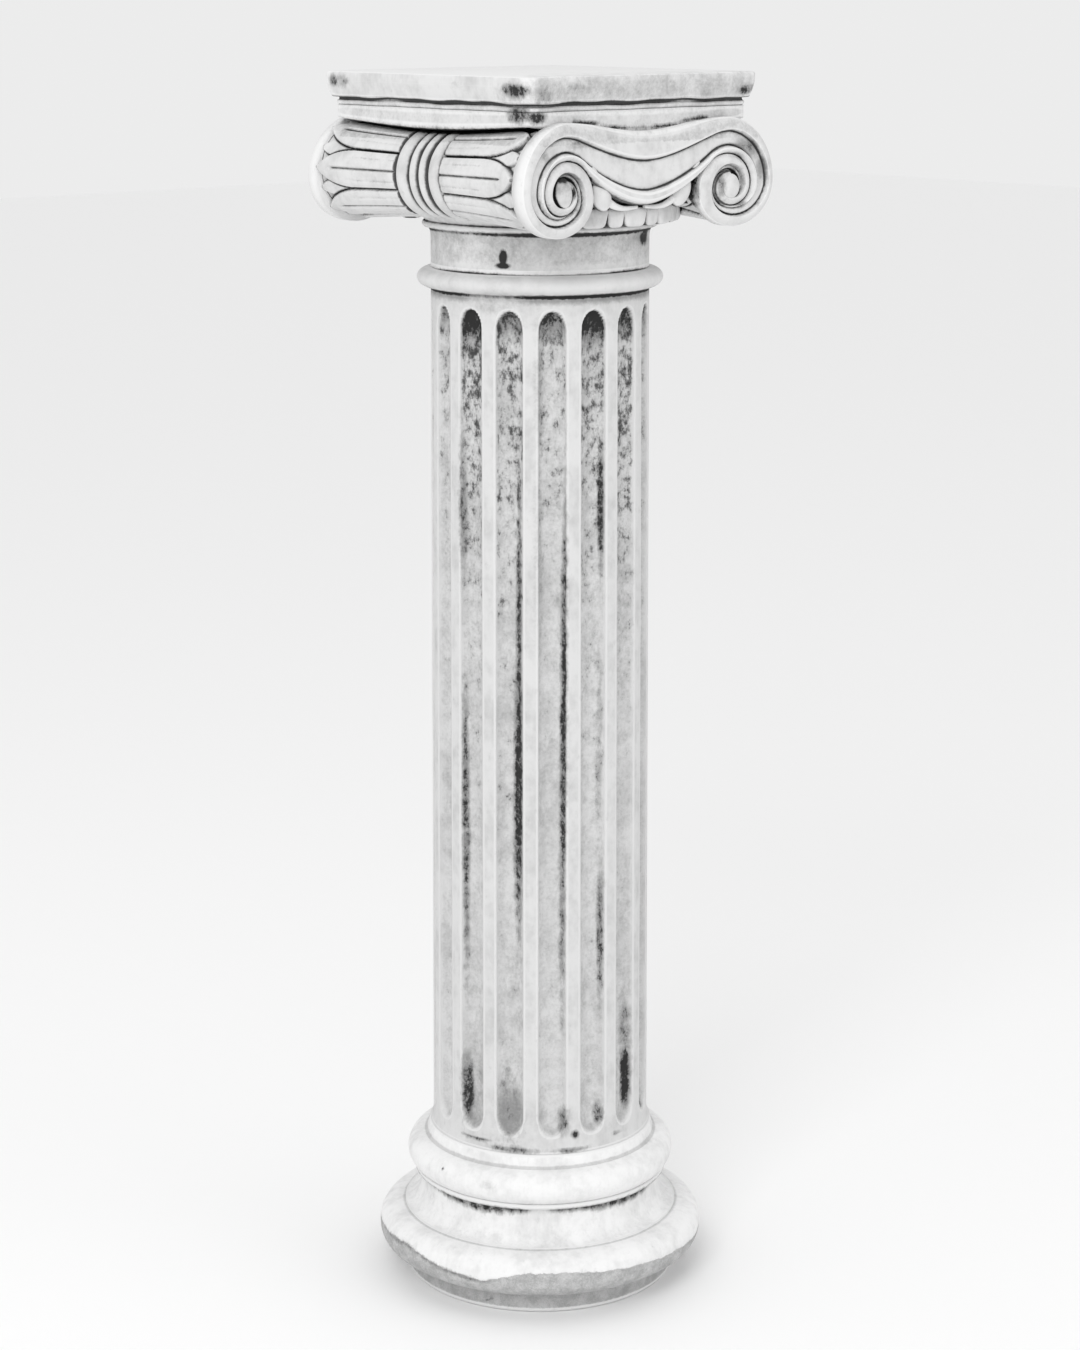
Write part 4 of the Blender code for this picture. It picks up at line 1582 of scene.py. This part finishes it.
        # Painted shadow along the seam at the band's inner edge.
        lines = np.maximum(lines, self.seam_shadow * np.exp(-(right / self.seam_shadow_width) ** 2))
        lines = np.maximum(lines, self.floor_dirt * lowered * np.clip(quarter - 1.6, 0.0, 1.0))
        inner_turn = np.clip(quarter - 3.7, 0.0, 1.0)
        edge_line = np.exp(-(left / self.line_width) ** 2)
        return carved, np.maximum(lines, self.turn_dirt * inner_turn * edge_line)

    def front(self, across: np.ndarray) -> np.ndarray:
        """Distance of the face from the middle plane, a little hollow in plan."""
        return self.distance + self.flare * (across / self.scroll.spread) ** 2

    def band(self, side: int) -> bpy.types.Mesh:
        """Closed plate with the carved face of one side, looking along Y.

        Args:
            side: Minus one for the face that looks along -Y.

        Returns:
            The closed mesh.
        """
        outer, inner, quarters = self.sections()
        outer = np.concatenate((outer[:0:-1] * (-1.0, 1.0), outer))
        inner = np.concatenate((inner[:0:-1] * (-1.0, 1.0), inner))
        quarters = np.concatenate((quarters[:0:-1], quarters))
        share = np.linspace(0.0, 1.0, 44)
        width = np.linalg.norm(inner - outer, axis=1)[:, None]
        place = outer[:, None, :] + (inner - outer)[:, None, :] * share[None, :, None]
        depth, lines = self.carving(share[None, :], width, quarters[:, None])
        level = self.front(place[..., 0]) - depth
        front = np.stack((place[..., 0], side * level, place[..., 1]), axis=-1)
        behind = []
        for edge in (inner, outer):
            back = self.distance - np.interp(np.abs(edge[:, 0]), self.thinning,
                                             (self.middle_thickness, self.thickness))
            behind.append(np.stack((edge[:, 0], side * back, edge[:, 1]), axis=-1))
        rows = np.concatenate((front, behind[0][:, None, :], behind[1][:, None, :]), axis=1)
        return loft(rows, np.pad(lines, ((0, 0), (0, 2))))

    def eyes(self, side: int) -> list[bpy.types.Mesh]:
        """Eyes in the middle of the two scrolls; one of them is drawn out like a comma.

        Args:
            side: Minus one for the face that looks along -Y.

        Returns:
            Closed meshes.
        """
        reach = side * (float(self.front(np.array(self.scroll.spread))) - 0.0040)
        level, radius = self.scroll.level, self.eye_radius
        made = [lobe((side * -self.scroll.spread, reach, level), (radius, self.eye_proud, radius))]
        drawn = (side * (self.scroll.spread + 0.0005), reach, level + 0.0025)
        made.append(lobe(drawn, (radius * 0.80, self.eye_proud, radius * 1.15), side * radians(12.0)))
        return made


@dataclass
class Bolster:
    """Saddle-shaped bolster with leaves on both sides of a belt of four cords.

    The leaf's values are shares: of its length from the belt, or of half its width from the midrib.
    """

    level: float
    spread: float = 0.0965
    end: float = 0.1240
    end_radius: float = 0.0385
    waist_radius: float = 0.0310
    squash: float = 0.95
    leaves: int = 7
    leaf_turn: float = radians(3.0)
    leaf_proud: float = 0.0064
    rib_depth: float = 0.0026
    narrow_from: float = 0.50
    narrow_over: float = 0.485
    leaf_tip: float = 0.98
    rib_width: float = 0.060
    rib_end: float = 0.84
    vein_place: float = 0.55
    vein_depth: float = 0.0005
    vein_end: float = 0.62
    behind_from: float = 0.72
    behind_over: float = 0.26
    behind_half: float = 0.52
    cords: tuple[float, ...] = (0.0170, 0.0115, 0.0115, 0.0170)
    cord_proud: float = 0.0072
    cord_shade_width: float = 0.0021
    belt_line: float = 0.0012

    def relief(self, place: np.ndarray, angle: np.ndarray) -> tuple[np.ndarray, np.ndarray]:
        """Carving over the plain bolster.

        Args:
            place: Distance along Y.
            angle: Angle round the bolster.

        Returns:
            Height and strength of the dark lines, dirt and painted shade, at each place and angle.
        """
        belt = sum(self.cords) / 2
        shape = np.broadcast(place, angle).shape
        height = np.zeros(shape)
        start = -belt
        gap = np.abs(place - start)
        for width in self.cords:
            inside = 1.0 - (2.0 * (place - start) / width - 1.0) ** 2
            height = np.maximum(height, self.cord_proud * np.sqrt(np.clip(inside, 0.0, 1.0)))
            start += width
            gap = np.minimum(gap, np.abs(place - start))
        pitch = TURN / self.leaves
        across = np.abs((angle - self.leaf_turn + pitch / 2) % pitch - pitch / 2) / (pitch / 2)
        along = np.clip((np.abs(place) - belt) / (self.end - belt), 0.0, 1.0)
        leafed, outlines = self.leaf(across, along)
        beyond = np.abs(place) > belt
        inner = np.abs(place) < belt - 0.0020
        # Dark bands between the cords run wide onto the cords' sides: painted shade, with dirt in the gaps.
        gaps = np.where(inner, 1.9 * np.exp(-(gap / self.cord_shade_width) ** 2),
                        0.95 * np.exp(-(gap / self.belt_line) ** 2))
        joint = 1.1 * np.exp(-((np.abs(place) - self.end + 0.0025) / 0.0014) ** 2)
        gaps = np.broadcast_to(np.maximum(gaps, joint), shape)
        return np.where(beyond, leafed, height), np.maximum(gaps, np.where(beyond, outlines, 0.0))

    def leaf(self, across: np.ndarray, along: np.ndarray) -> tuple[np.ndarray, np.ndarray]:
        """A leaf and the small one behind it.

        Args:
            across: Zero on the midrib, one on the seam between two leaves.
            along: Zero at the belt, one at the scroll.

        Returns:
            Height over the bolster and strength of the dark lines of dirt and painted shade.
        """
        narrowing = np.clip((along - self.narrow_from) / self.narrow_over, 0.0, 1.0)
        half = np.where(along < self.leaf_tip, (1.0 - narrowing ** 2.3) ** 0.8, 0.0)
        slope = 0.40 * narrowing
        inset = (half - across) / np.sqrt(1.0 + slope ** 2)
        share = np.clip(across / np.maximum(half, 0.001), 0.0, 1.0)
        crowned = 0.55 + 0.45 * np.sqrt(1.0 - share ** 3)
        main = self.leaf_proud * np.clip(inset / 0.09, 0.0, 1.0) * crowned
        rib = np.exp(-(across / self.rib_width) ** 2) * np.clip((self.rib_end - along) / 0.06, 0.0, 1.0)
        vein = np.exp(-((share - self.vein_place) / 0.07) ** 2)
        vein = vein * np.clip((self.vein_end - along) / 0.10, 0.0, 1.0)
        main = main - self.rib_depth * rib - self.vein_depth * vein
        lines = np.maximum(1.15 * np.exp(-(inset / 0.085) ** 2), np.maximum(rib, 0.45 * vein))
        beyond = np.clip(along - self.behind_from, 0.0, 1.0) / self.behind_over
        behind = self.behind_half * np.sqrt(np.clip(1.0 - beyond ** 2, 0.0, 1.0))
        inset_behind = behind - (1.0 - across)
        small = 0.5 * self.leaf_proud * np.clip(inset_behind / 0.10, 0.0, 1.0)
        small_lines = np.exp(-(inset_behind / 0.07) ** 2) * (behind > 0.0)
        on_leaf = inset > 0.0
        lines = np.maximum(lines, np.where(on_leaf, 0.0, small_lines))
        return np.where(on_leaf, main, small), lines

    def mesh(self, side: int) -> bpy.types.Mesh:
        """Closed bolster on one side.

        Args:
            side: Minus one for the bolster on the -X side.

        Returns:
            The closed mesh.
        """
        place = np.linspace(-self.end, self.end, 240)[:, None]
        share = np.linspace(0.0, 1.0, 300, endpoint=False)[None, :]
        angle = TURN * share - 0.45 * np.sin(TURN * share)
        swell = (np.abs(place) / self.end) ** 1.6
        plain = self.waist_radius + (self.end_radius - self.waist_radius) * swell
        height, lines = self.relief(place, angle)
        reach = plain + height
        x = side * (self.spread + reach * np.cos(angle))
        z = self.level + reach * self.squash * np.sin(angle)
        y = np.broadcast_to(place, x.shape)
        return loft(np.stack((x, y, z), axis=-1), lines)


@dataclass
class Abacus:
    """Square slab over a groove, a small roll and a wavy fascia."""

    top: float
    width: float = 0.2550
    corner: float = 0.0080
    slab_height: float = 0.0205
    slab_round: float = 0.0020
    slab_taper: float = 0.0032
    groove_height: float = 0.0023
    groove_inset: float = 0.0074
    groove_wave: float = 0.0008
    roll_height: float = 0.0046
    roll_inset: float = 0.0061
    fascia_height: float = 0.0106
    fascia_inset: float = 0.0065
    fascia_drop: float = 0.0062
    front_drop: float = 0.0092
    spacing: float = 0.0018

    def ring(self, half: float, steps: int = 70) -> np.ndarray:
        """Square with round corners.

        Args:
            half: Half of its width.
            steps: Points on each side.

        Returns:
            Array of (x, y).
        """
        points = []
        straight = half - self.corner
        for quarter in range(4):
            turn = quarter * pi / 2
            middle = np.array((cos(turn + pi / 4), sin(turn + pi / 4))) * straight * sqrt(2.0)
            for step in range(9):
                angle = turn + 0.5 * pi * step / 8
                points.append(middle + self.corner * np.array((cos(angle), sin(angle))))
            following = turn + pi / 2
            start = points[-1]
            end_middle = np.array((cos(following + pi / 4), sin(following + pi / 4))) * straight * sqrt(2.0)
            end = end_middle + self.corner * np.array((cos(following), sin(following)))
            for step in range(1, steps):
                points.append(start + (end - start) * step / steps)
        return np.array(points)

    def belly(self, along: np.ndarray) -> np.ndarray:
        """How much the fascia hangs down along one side, one in the middle."""
        return np.cos(np.clip(2.0 * along / self.width, -1.0, 1.0) * pi / 2) ** 1.2

    def outline(self) -> tuple[list[tuple[float, float]], float, float]:
        """Outline from the fascia's foot to the top edge.

        Returns:
            Points (half width, height), the height of the slab's underside and of the roll's foot.
        """
        half = self.width / 2
        slab_foot = self.top - self.slab_height
        roll_head = slab_foot - self.groove_height
        roll_foot = roll_head - self.roll_height
        fascia_foot = roll_foot - self.fascia_height
        face = half - self.fascia_inset
        outline = [(face - 0.004, fascia_foot), (face, fascia_foot + 0.001), (face, roll_foot)]
        outline += [(half - self.roll_inset - self.roll_height / 2 + reach, height) for reach, height in
                    arc((0.0, (roll_foot + roll_head) / 2), self.roll_height / 2, self.roll_height / 2,
                        -80.0, 80.0, 8)]
        outline += [(half - self.groove_inset, roll_head), (half - self.groove_inset, slab_foot)]
        outline += [(half - self.slab_taper, slab_foot), (half - self.slab_taper / 2, slab_foot + 0.005)]
        outline += [(half, slab_foot + self.slab_height * 0.62)]
        outline += arc((half - self.slab_round, self.top - self.slab_round), self.slab_round,
                       self.slab_round, 0.0, 90.0, 5)
        return outline, slab_foot, roll_foot

    def mesh(self) -> bpy.types.Mesh:
        """Closed abacus.

        Returns:
            The closed mesh.
        """
        half = self.width / 2
        outline, slab_foot, roll_foot = self.outline()
        rows, lines = [], []
        for reach, height in filled(outline, self.spacing):
            ring = self.ring(reach)
            level = np.full(len(ring), height)
            low = np.clip((roll_foot - height) / self.fascia_height, 0.0, 1.0)
            on_side = np.abs(ring[:, 0]) > np.abs(ring[:, 1])
            level -= low * np.where(on_side, self.fascia_drop * self.belly(ring[:, 1]),
                                    self.front_drop * self.belly(ring[:, 0]))
            run = ring[:, 0] + ring[:, 1]
            wave = np.sin(run * 61.0 + 0.6) * 0.6 + np.sin(run * 147.0) * 0.4
            edges = np.clip(1.0 - abs(height - slab_foot) / 0.009, 0.0, 1.0)
            level += self.groove_wave * wave * edges
            rows.append(np.column_stack((ring, level)))
            in_groove = slab_foot - self.groove_height - 0.0006 <= height <= slab_foot + 0.0002
            broken = 1.30 + 0.60 * np.sin(run * 39.0 + 1.0) + 0.35 * np.sin(run * 113.0)
            lines.append(broken * in_groove)
        return loft(np.array(rows), np.array(lines))


@dataclass
class Capital:
    """Ionic capital cast as one piece."""

    foot: float
    top: float
    neck_radius: float = 0.0913
    neck_height: float = 0.0335
    bead_radius: float = 0.0985
    bead_height: float = 0.0050
    echinus_radius: float = 0.1150
    echinus_height: float = 0.0170
    eggs: int = 18
    egg: tuple[float, float, float] = (0.0088, 0.0120, 0.0087)
    dart: tuple[float, float, float] = (0.0082, 0.0076, 0.0085)
    egg_limit: float = 0.68
    gap_radius: float = 0.1098
    core_half_width: float = 0.0900
    core_half_depth: float = 0.1100
    eye_drop: float = 0.0920
    bolster_drop: float = 0.0800

    def drum(self) -> bpy.types.Mesh:
        """Neck, bead and the body of the echinus.

        Returns:
            The closed mesh.
        """
        bead_foot = self.foot + self.neck_height
        bead_head = bead_foot + self.bead_height
        head = bead_head + self.echinus_height
        half = self.bead_height / 2
        cove = (self.bead_radius - half - 0.0012, bead_foot)
        outline = [(self.neck_radius, self.foot)]
        outline += hollow(cove, (self.neck_radius, bead_foot - 0.009), 8)[::-1]
        outline += arc((self.bead_radius - half, bead_foot + half), half, half, -90.0, 90.0, 10)
        outline.append((self.bead_radius - half, bead_head + 0.0006))
        outline.append((self.echinus_radius - 0.009, head - 0.35 * self.echinus_height))
        outline.append((self.echinus_radius - 0.006, head))
        rows = []
        angle = np.linspace(0.0, TURN, 300, endpoint=False)
        for reach, height in filled(outline, 0.0014):
            rows.append(np.column_stack((reach * np.cos(angle), reach * np.sin(angle),
                                         np.full(len(angle), height))))
        return loft(np.array(rows))

    def core(self) -> bpy.types.Mesh:
        """Block that joins the bolsters, the faces, the echinus and the abacus.

        Returns:
            The closed mesh.
        """
        foot = self.foot + self.neck_height + self.bead_height + self.echinus_height
        head = self.top - 0.0363
        x, y = self.core_half_width, self.core_half_depth
        across, along = np.linspace(-x, x, 60), np.linspace(-y, y, 60)
        ring = [(a, -y) for a in across[:-1]] + [(x, b) for b in along[:-1]]
        ring += [(a, y) for a in across[:0:-1]] + [(-x, b) for b in along[:0:-1]]
        return loft(np.array([[(a, b, level) for a, b in ring] for level in np.linspace(foot, head, 24)]))

    def egg_and_dart(self, material: bpy.types.Material) -> list[bpy.types.Mesh]:
        """Row of blocky eggs with darts between them.

        Args:
            material: Finish of the capital.

        Returns:
            Two meshes.
        """
        ring = RingTree("egg ring", material)
        level = self.foot + self.neck_height + self.bead_height + self.echinus_height / 2
        made = []
        for name, half, turn in (("eggs", self.egg, 0.0), ("darts", self.dart, pi / self.eggs)):
            block = lobe((0.0, 0.0, 0.0), (half[1], half[0], half[2]), 0.0, 0.42, outward=0)
            for vertex in block.vertices:
                vertex.co.y *= 1.0 + 0.18 * vertex.co.z / half[2]
            made.append(ring.shape(name, block, {
                "Count": self.eggs, "Radius": self.echinus_radius + 0.0020 - half[0], "Level": level,
                "Turn": pi / 2 + turn, "Side Limit": self.egg_limit}))
        return made

    def sprouts(self, side: int) -> list[bpy.types.Mesh]:
        """Leaf buds in the corners of one face, their stems and the small leaves over them.

        Args:
            side: Minus one for the face that looks along -Y.

        Returns:
            Closed meshes.
        """
        made = []
        level = self.top - self.eye_drop
        for hand in (-1, 1):
            stem = [Vector((hand * x, side * y, level + z)) for x, y, z in (
                (0.004, 0.1200, -0.0125), (0.020, 0.1200, -0.0130), (0.032, 0.1195, -0.0095),
                (0.0425, 0.1185, -0.0020))]
            path = curve_through(stem, 8)
            thick = np.interp(np.linspace(0.0, 1.0, len(path)), (0.0, 0.4, 1.0), (0.0016, 0.0026, 0.0050))
            made.append(tube(path, thick.tolist()))
            petal = (hand * 0.0445, side * 0.1195, level - 0.0015)
            made.append(lobe(petal, (0.0098, 0.0075, 0.0140), hand * radians(30.0)))
            leaf = (hand * 0.0560, side * 0.1240, level + 0.0170)
            made.append(lobe(leaf, (0.0030, 0.0042, 0.0085), hand * radians(40.0)))
        return made

    def build(self, material: bpy.types.Material) -> list[bpy.types.Object]:
        """Make and dress the capital.

        Args:
            material: Its finish.

        Returns:
            The finished objects, which stand for the capital together.
        """
        face = VoluteFace(Scroll(self.top - self.eye_drop))
        bolster = Bolster(self.top - self.bolster_drop)
        groups = {"body": [Abacus(self.top).mesh(), self.drum(), self.core(), *self.egg_and_dart(material)]}
        for side in Side:
            hand = side.name.lower()
            groups["body"] += self.sprouts(side.value)
            groups[f"face_{hand}"] = [face.band(side.value), *face.eyes(side.value)]
            groups[f"bolster_{hand}"] = [bolster.mesh(side.value)]
        near = surroundings([part for parts in groups.values() for part in parts])
        weather = Weather(self.stains(), self.smudges(), near)
        pieces = []
        for name, parts in groups.items():
            mesh = joined(f"capital_{name}", parts, material)
            weather.settle(mesh, self.marks)
            pieces.append(adopt(link(f"column_capital_{name}", mesh), "capital"))
        return pieces

    def marks(self, points: np.ndarray) -> dict[str, np.ndarray]:
        """Dirt in the joint over the shaft, dirt and painted shade under the bead, painted shade in the
        recesses and under the fascia, painted shade as grey film on the slab's front face and under the
        slab, and film elsewhere.

        Args:
            points: Array of positions.

        Returns:
            Values of stain, of film and painted shade, and of where the painted shade is lessened.
        """
        height = points[:, 2]
        angle = np.degrees(np.arctan2(points[:, 1], points[:, 0])) % 360.0
        round_part = np.hypot(points[:, 0], points[:, 1]) < self.bead_radius + 0.001
        joint = np.clip(1.0 - (height - self.foot) / 0.0025, 0.0, 1.0) * round_part
        flecks = 0.65 + 0.45 * np.sin(np.radians(angle) * 4.0 + 1.0)
        bead_foot = self.foot + self.neck_height
        # Dark line under the bead: dirt and painted shade.
        line = 1.4 * np.clip(1.0 - np.abs(height - bead_foot + 0.0012) / 0.0032, 0.0, 1.0) * round_part
        dark = np.interp(angle, (0, 150, 172, 200, 225, 240, 285, 330, 360),
                         (0.6, 1.0, 0.5, 0.7, 1.2, 1.2, 0.9, 0.9, 0.6))
        neck = (height < bead_foot) * round_part
        x, y = np.abs(points[:, 0]), np.abs(points[:, 1])
        # Less painted shade on the outer upper parts of the capital.
        less_shade = 0.72 * ((height > self.top - 0.0530) & (np.maximum(x, y) > self.core_half_depth))
        echinus_head = bead_foot + self.bead_height + self.echinus_height
        # Painted shade: the recesses behind the faces and under the echinus are darkened as a stain.
        recess_shade = (y > 0.100) & (y < self.core_half_depth + 0.002) & (x < 0.085)
        recess_shade &= (height > echinus_head - 0.0015) & (height < self.top - 0.050)
        gap = (np.hypot(x, y) < self.gap_radius) & (x < 0.070) & (height < echinus_head)
        recess_shade |= gap & (height > bead_foot + self.bead_height + 0.0015)
        stain = np.maximum(joint * flecks, line * dark)
        stain = np.maximum(stain, np.maximum(1.2 * recess_shade, self.fascia_shadow_line(points)))
        slab_foot = self.top - Abacus.slab_height
        # Painted shade as grey film on the slab's front face and on the parts under the slab.
        front = (height > slab_foot) & (points[:, 1] < -0.118)
        fascia_shade = (height < slab_foot - 0.0026) & (less_shade > 0.0)
        film = 0.38 * neck + 0.50 * front + 0.40 * fascia_shade + 0.05
        return {"stain": stain, "film": film, "less_shade": less_shade}

    def fascia_shadow_line(self, points: np.ndarray) -> np.ndarray:
        """Painted shadow under the fascia of the abacus, where it meets the bolsters and the tops of the
        two faces.

        Args:
            points: Array of positions.

        Returns:
            Strength of the painted shadow.
        """
        abacus = Abacus(self.top)
        x, y, height = np.abs(points[:, 0]), np.abs(points[:, 1]), points[:, 2]
        belly = abacus.belly(y)
        level = abacus.outline()[0][0][1] - abacus.fascia_drop * belly
        # Painted shadow under the fascia's lower edge.
        sides = 1.6 * np.exp(-((height - level + 0.0010) / (0.0011 + 0.0013 * belly)) ** 2)
        face = VoluteFace(Scroll(self.top - self.eye_drop))
        crown = np.interp(x, *face.channel(np.linspace(0.0, 1.0, 30))[0].T)
        faces = 0.95 * np.exp(-((height - crown - 0.0010) / 0.0022) ** 2) * (y > 0.118) * (y < 0.1225)
        return np.where(x > 0.104, sides * (y < 0.112), faces * (x < 0.075))

    def stains(self) -> tuple[Stain, ...]:
        """Places with packed dirt.

        Returns:
            The stains.
        """
        return tuple(Stain(*mark) for mark in (
            ((-0.127, -0.112, 1.040), (0.007, 0.016, 0.006), 0.85),
            ((-0.121, -0.109, 1.0215), (0.006, 0.012, 0.007), 0.85),
            ((-0.112, -0.120, 1.0195), (0.009, 0.006, 0.005), 0.95),
            ((-0.127, 0.113, 1.043), (0.004, 0.006, 0.005), 0.75),
            ((-0.127, 0.098, 1.0425), (0.004, 0.006, 0.003), 0.6),
            ((-0.075, -0.127, 1.042), (0.012, 0.004, 0.004), 0.50),
            ((0.113, -0.126, 1.036), (0.010, 0.004, 0.005), 0.78),
            ((-0.080, -0.044, 0.905), (0.0032, 0.0032, 0.0068), 1.5),
            ((-0.080, -0.044, 0.8985), (0.0060, 0.0060, 0.0024), 1.4),
            ((0.0418, -0.0820, 0.918), (0.012, 0.012, 0.008), 1.0),
            ((-0.058, -0.1215, 0.956), (0.0034, 0.006, 0.012), 1.2),
            ((0.058, -0.1215, 0.956), (0.0034, 0.006, 0.012), 1.3),
            ((0.0570, -0.1215, 0.945), (0.0050, 0.006, 0.005), 1.2),
            ((-0.0950, -0.1300, 0.9715), (0.0085, 0.006, 0.0035), 0.95),
            ((-0.0835, -0.1300, 0.9620), (0.0030, 0.006, 0.0060), 0.85),
            ((0.0815, -0.1300, 0.9600), (0.0040, 0.006, 0.0095), 0.62),
            ((0.0950, -0.1300, 0.9725), (0.0100, 0.006, 0.0030), 0.55),
            ((0.1040, -0.1300, 0.9440), (0.0060, 0.006, 0.0045), 0.50),
            ((-0.129, -0.100, 1.030), (0.005, 0.020, 0.009), 0.46),
            ((-0.105, -0.127, 1.036), (0.022, 0.005, 0.009), 0.46),
            ((-0.040, -0.127, 1.039), (0.016, 0.005, 0.005), 0.42),
            ((0.060, -0.127, 1.036), (0.020, 0.005, 0.004), 0.36),
            ((0.113, -0.130, 0.989), (0.013, 0.005, 0.006), 0.6),
            ((0.129, -0.131, 0.974), (0.005, 0.005, 0.008), 0.6),
            ((-0.077, -0.128, 0.999), (0.008, 0.005, 0.002), 0.6),
            ((-0.090, -0.131, 0.967), (0.010, 0.005, 0.006), 0.5),
        ))

    def smudges(self) -> tuple[Stain, ...]:
        """Places with a grey film.

        Returns:
            The smudges.
        """
        return tuple(Stain(*mark) for mark in (
            ((-0.127, -0.112, 1.040), (0.008, 0.020, 0.008), 0.9),
            ((-0.118, -0.126, 1.039), (0.012, 0.008, 0.008), 0.7),
            ((-0.121, -0.112, 1.021), (0.010, 0.012, 0.008), 0.8),
            ((-0.127, 0.106, 1.043), (0.006, 0.014, 0.007), 0.7),
            ((-0.075, -0.127, 1.042), (0.018, 0.006, 0.005), 0.5),
            ((0.113, -0.126, 1.036), (0.012, 0.006, 0.006), 0.6),
            ((-0.127, -0.041, 1.044), (0.006, 0.006, 0.004), 0.5),
            ((-0.068, -0.063, 0.921), (0.022, 0.022, 0.006), 0.5),
            ((0.030, -0.086, 0.919), (0.012, 0.012, 0.006), 0.6),
            ((0.110, -0.130, 0.989), (0.018, 0.006, 0.010), 0.8),
            ((0.128, -0.131, 0.974), (0.007, 0.006, 0.012), 0.7),
            ((-0.077, -0.128, 0.998), (0.012, 0.006, 0.004), 0.6),
            ((-0.113, -0.130, 0.990), (0.004, 0.006, 0.004), 0.5),
            ((-0.090, -0.131, 0.967), (0.014, 0.006, 0.009), 0.7),
        ))


def adopt(piece: bpy.types.Object, node: str) -> bpy.types.Object:
    """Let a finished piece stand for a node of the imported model.

    Args:
        piece: The finished piece.
        node: Node that it stands for.

    Returns:
        The same piece.
    """
    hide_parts(node)
    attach(piece, "root")
    LOG.info("%s: %d triangles", piece.name, sum(len(face.vertices) - 2 for face in piece.data.polygons))
    return piece


@dataclass
class Studio:
    """Pale floor, soft lights and the camera."""

    turn: float = radians(42.15)
    tilt: float = radians(13.06)
    away: float = 2.506
    camera_height: float = 1.1205
    lens: float = 79.47
    sensor: float = 36.0
    sky_light: float = 0.86
    backdrop: float = 0.84
    floor_level: float = -0.0005
    floor_half: float = 12.0
    floor_grey: float = 0.95
    aim: tuple[float, float, float] = (0.0, 0.0, 0.55)
    key_place: tuple[float, float, float] = (-2.6, -1.6, 2.6)
    key_size: float = 1.6
    key_power: float = 42.0
    fill_place: tuple[float, float, float] = (1.2, -3.0, 1.6)
    fill_size: float = 2.4
    fill_power: float = 9.0

    def floor(self) -> bpy.types.Object:
        """Large pale floor.

        Returns:
            The floor object.
        """
        half, level = self.floor_half, self.floor_level
        mesh = bpy.data.meshes.new("floor")
        mesh.from_pydata([(-half, -half, level), (half, -half, level), (half, half, level),
                          (-half, half, level)], [], [(0, 1, 2, 3)])
        material = bpy.data.materials.new("floor_paper")
        material.use_nodes = True
        shader = material.node_tree.nodes["Principled BSDF"]
        shader.inputs["Base Color"].default_value = grey(self.floor_grey)
        shader.inputs["Roughness"].default_value = 0.9
        mesh.materials.append(material)
        piece = link("floor", mesh)
        return piece

    def camera(self) -> bpy.types.Object:
        """Camera at the height and distance from which the column was seen.

        Returns:
            The camera object.
        """
        data = bpy.data.cameras.new("camera")
        data.lens = self.lens
        data.sensor_width = self.sensor
        item = bpy.data.objects.new("camera", data)
        bpy.context.scene.collection.objects.link(item)
        item.location = (-self.away * sin(self.turn), -self.away * cos(self.turn), self.camera_height)
        item.rotation_euler = (pi / 2 - self.tilt, 0.0, -self.turn)
        bpy.context.scene.camera = item
        return item

    def lamp(self, name: str, place: tuple[float, float, float], size: float, power: float) -> None:
        """Square soft light that looks at the column.

        Args:
            name: Name of the light.
            place: Where it hangs.
            size: Length of its side.
            power: Power in watts.
        """
        data = bpy.data.lights.new(name, "AREA")
        data.size = size
        data.energy = power
        item = bpy.data.objects.new(name, data)
        bpy.context.scene.collection.objects.link(item)
        item.location = place
        look = Vector(self.aim) - Vector(place)
        item.rotation_euler = look.to_track_quat("-Z", "Y").to_euler()

    def build(self) -> None:
        """Set up the whole studio."""
        self.floor()
        self.camera()
        self.lamp("key", self.key_place, self.key_size, self.key_power)
        self.lamp("fill", self.fill_place, self.fill_size, self.fill_power)
        world = bpy.data.worlds.new("studio")
        world.use_nodes = True
        sky = world.node_tree.nodes["Background"]
        sky.inputs["Color"].default_value = grey(1.0)
        seen = world.node_tree.nodes.new("ShaderNodeLightPath").outputs["Is Camera Ray"]
        strength = add_node(world.node_tree, "ShaderNodeMapRange",
                            {"Value": seen, "To Min": self.sky_light, "To Max": self.backdrop})
        world.node_tree.links.new(strength.outputs["Result"], sky.inputs["Strength"])
        bpy.context.scene.world = world
        bpy.context.scene.view_settings.view_transform = "Standard"


def main() -> None:
    """Build the column's pieces in order; each piece's triangle count is logged."""
    logging.basicConfig(level=logging.INFO, format="%(message)s")
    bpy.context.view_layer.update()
    limewash, grime_and_shade = limewash_effect(), grime_and_shade_effect()
    base_stone = CastStone("base_limewash", white=0.84, thin=0.68, crease_amount=0.25,
                           film_and_shade_amount=0.5).build(limewash, grime_and_shade)
    shaft_stone = CastStone("shaft_limewash", white=0.66, thin=0.52, ridge_highlight=0.70, crease_amount=0.12,
                            film_and_shade_amount=0.7).build(limewash, grime_and_shade)
    capital_stone = CastStone("capital_limewash").build(limewash, grime_and_shade)
    Base().build(base_stone)
    shaft_box, capital_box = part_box("shaft"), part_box("capital")
    Shaft(shaft_box[0].z, shaft_box[1].z).build(shaft_stone)
    Capital(capital_box[0].z, capital_box[1].z).build(capital_stone)
    Studio().build()
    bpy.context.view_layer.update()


if __name__ == "__main__":
    main()
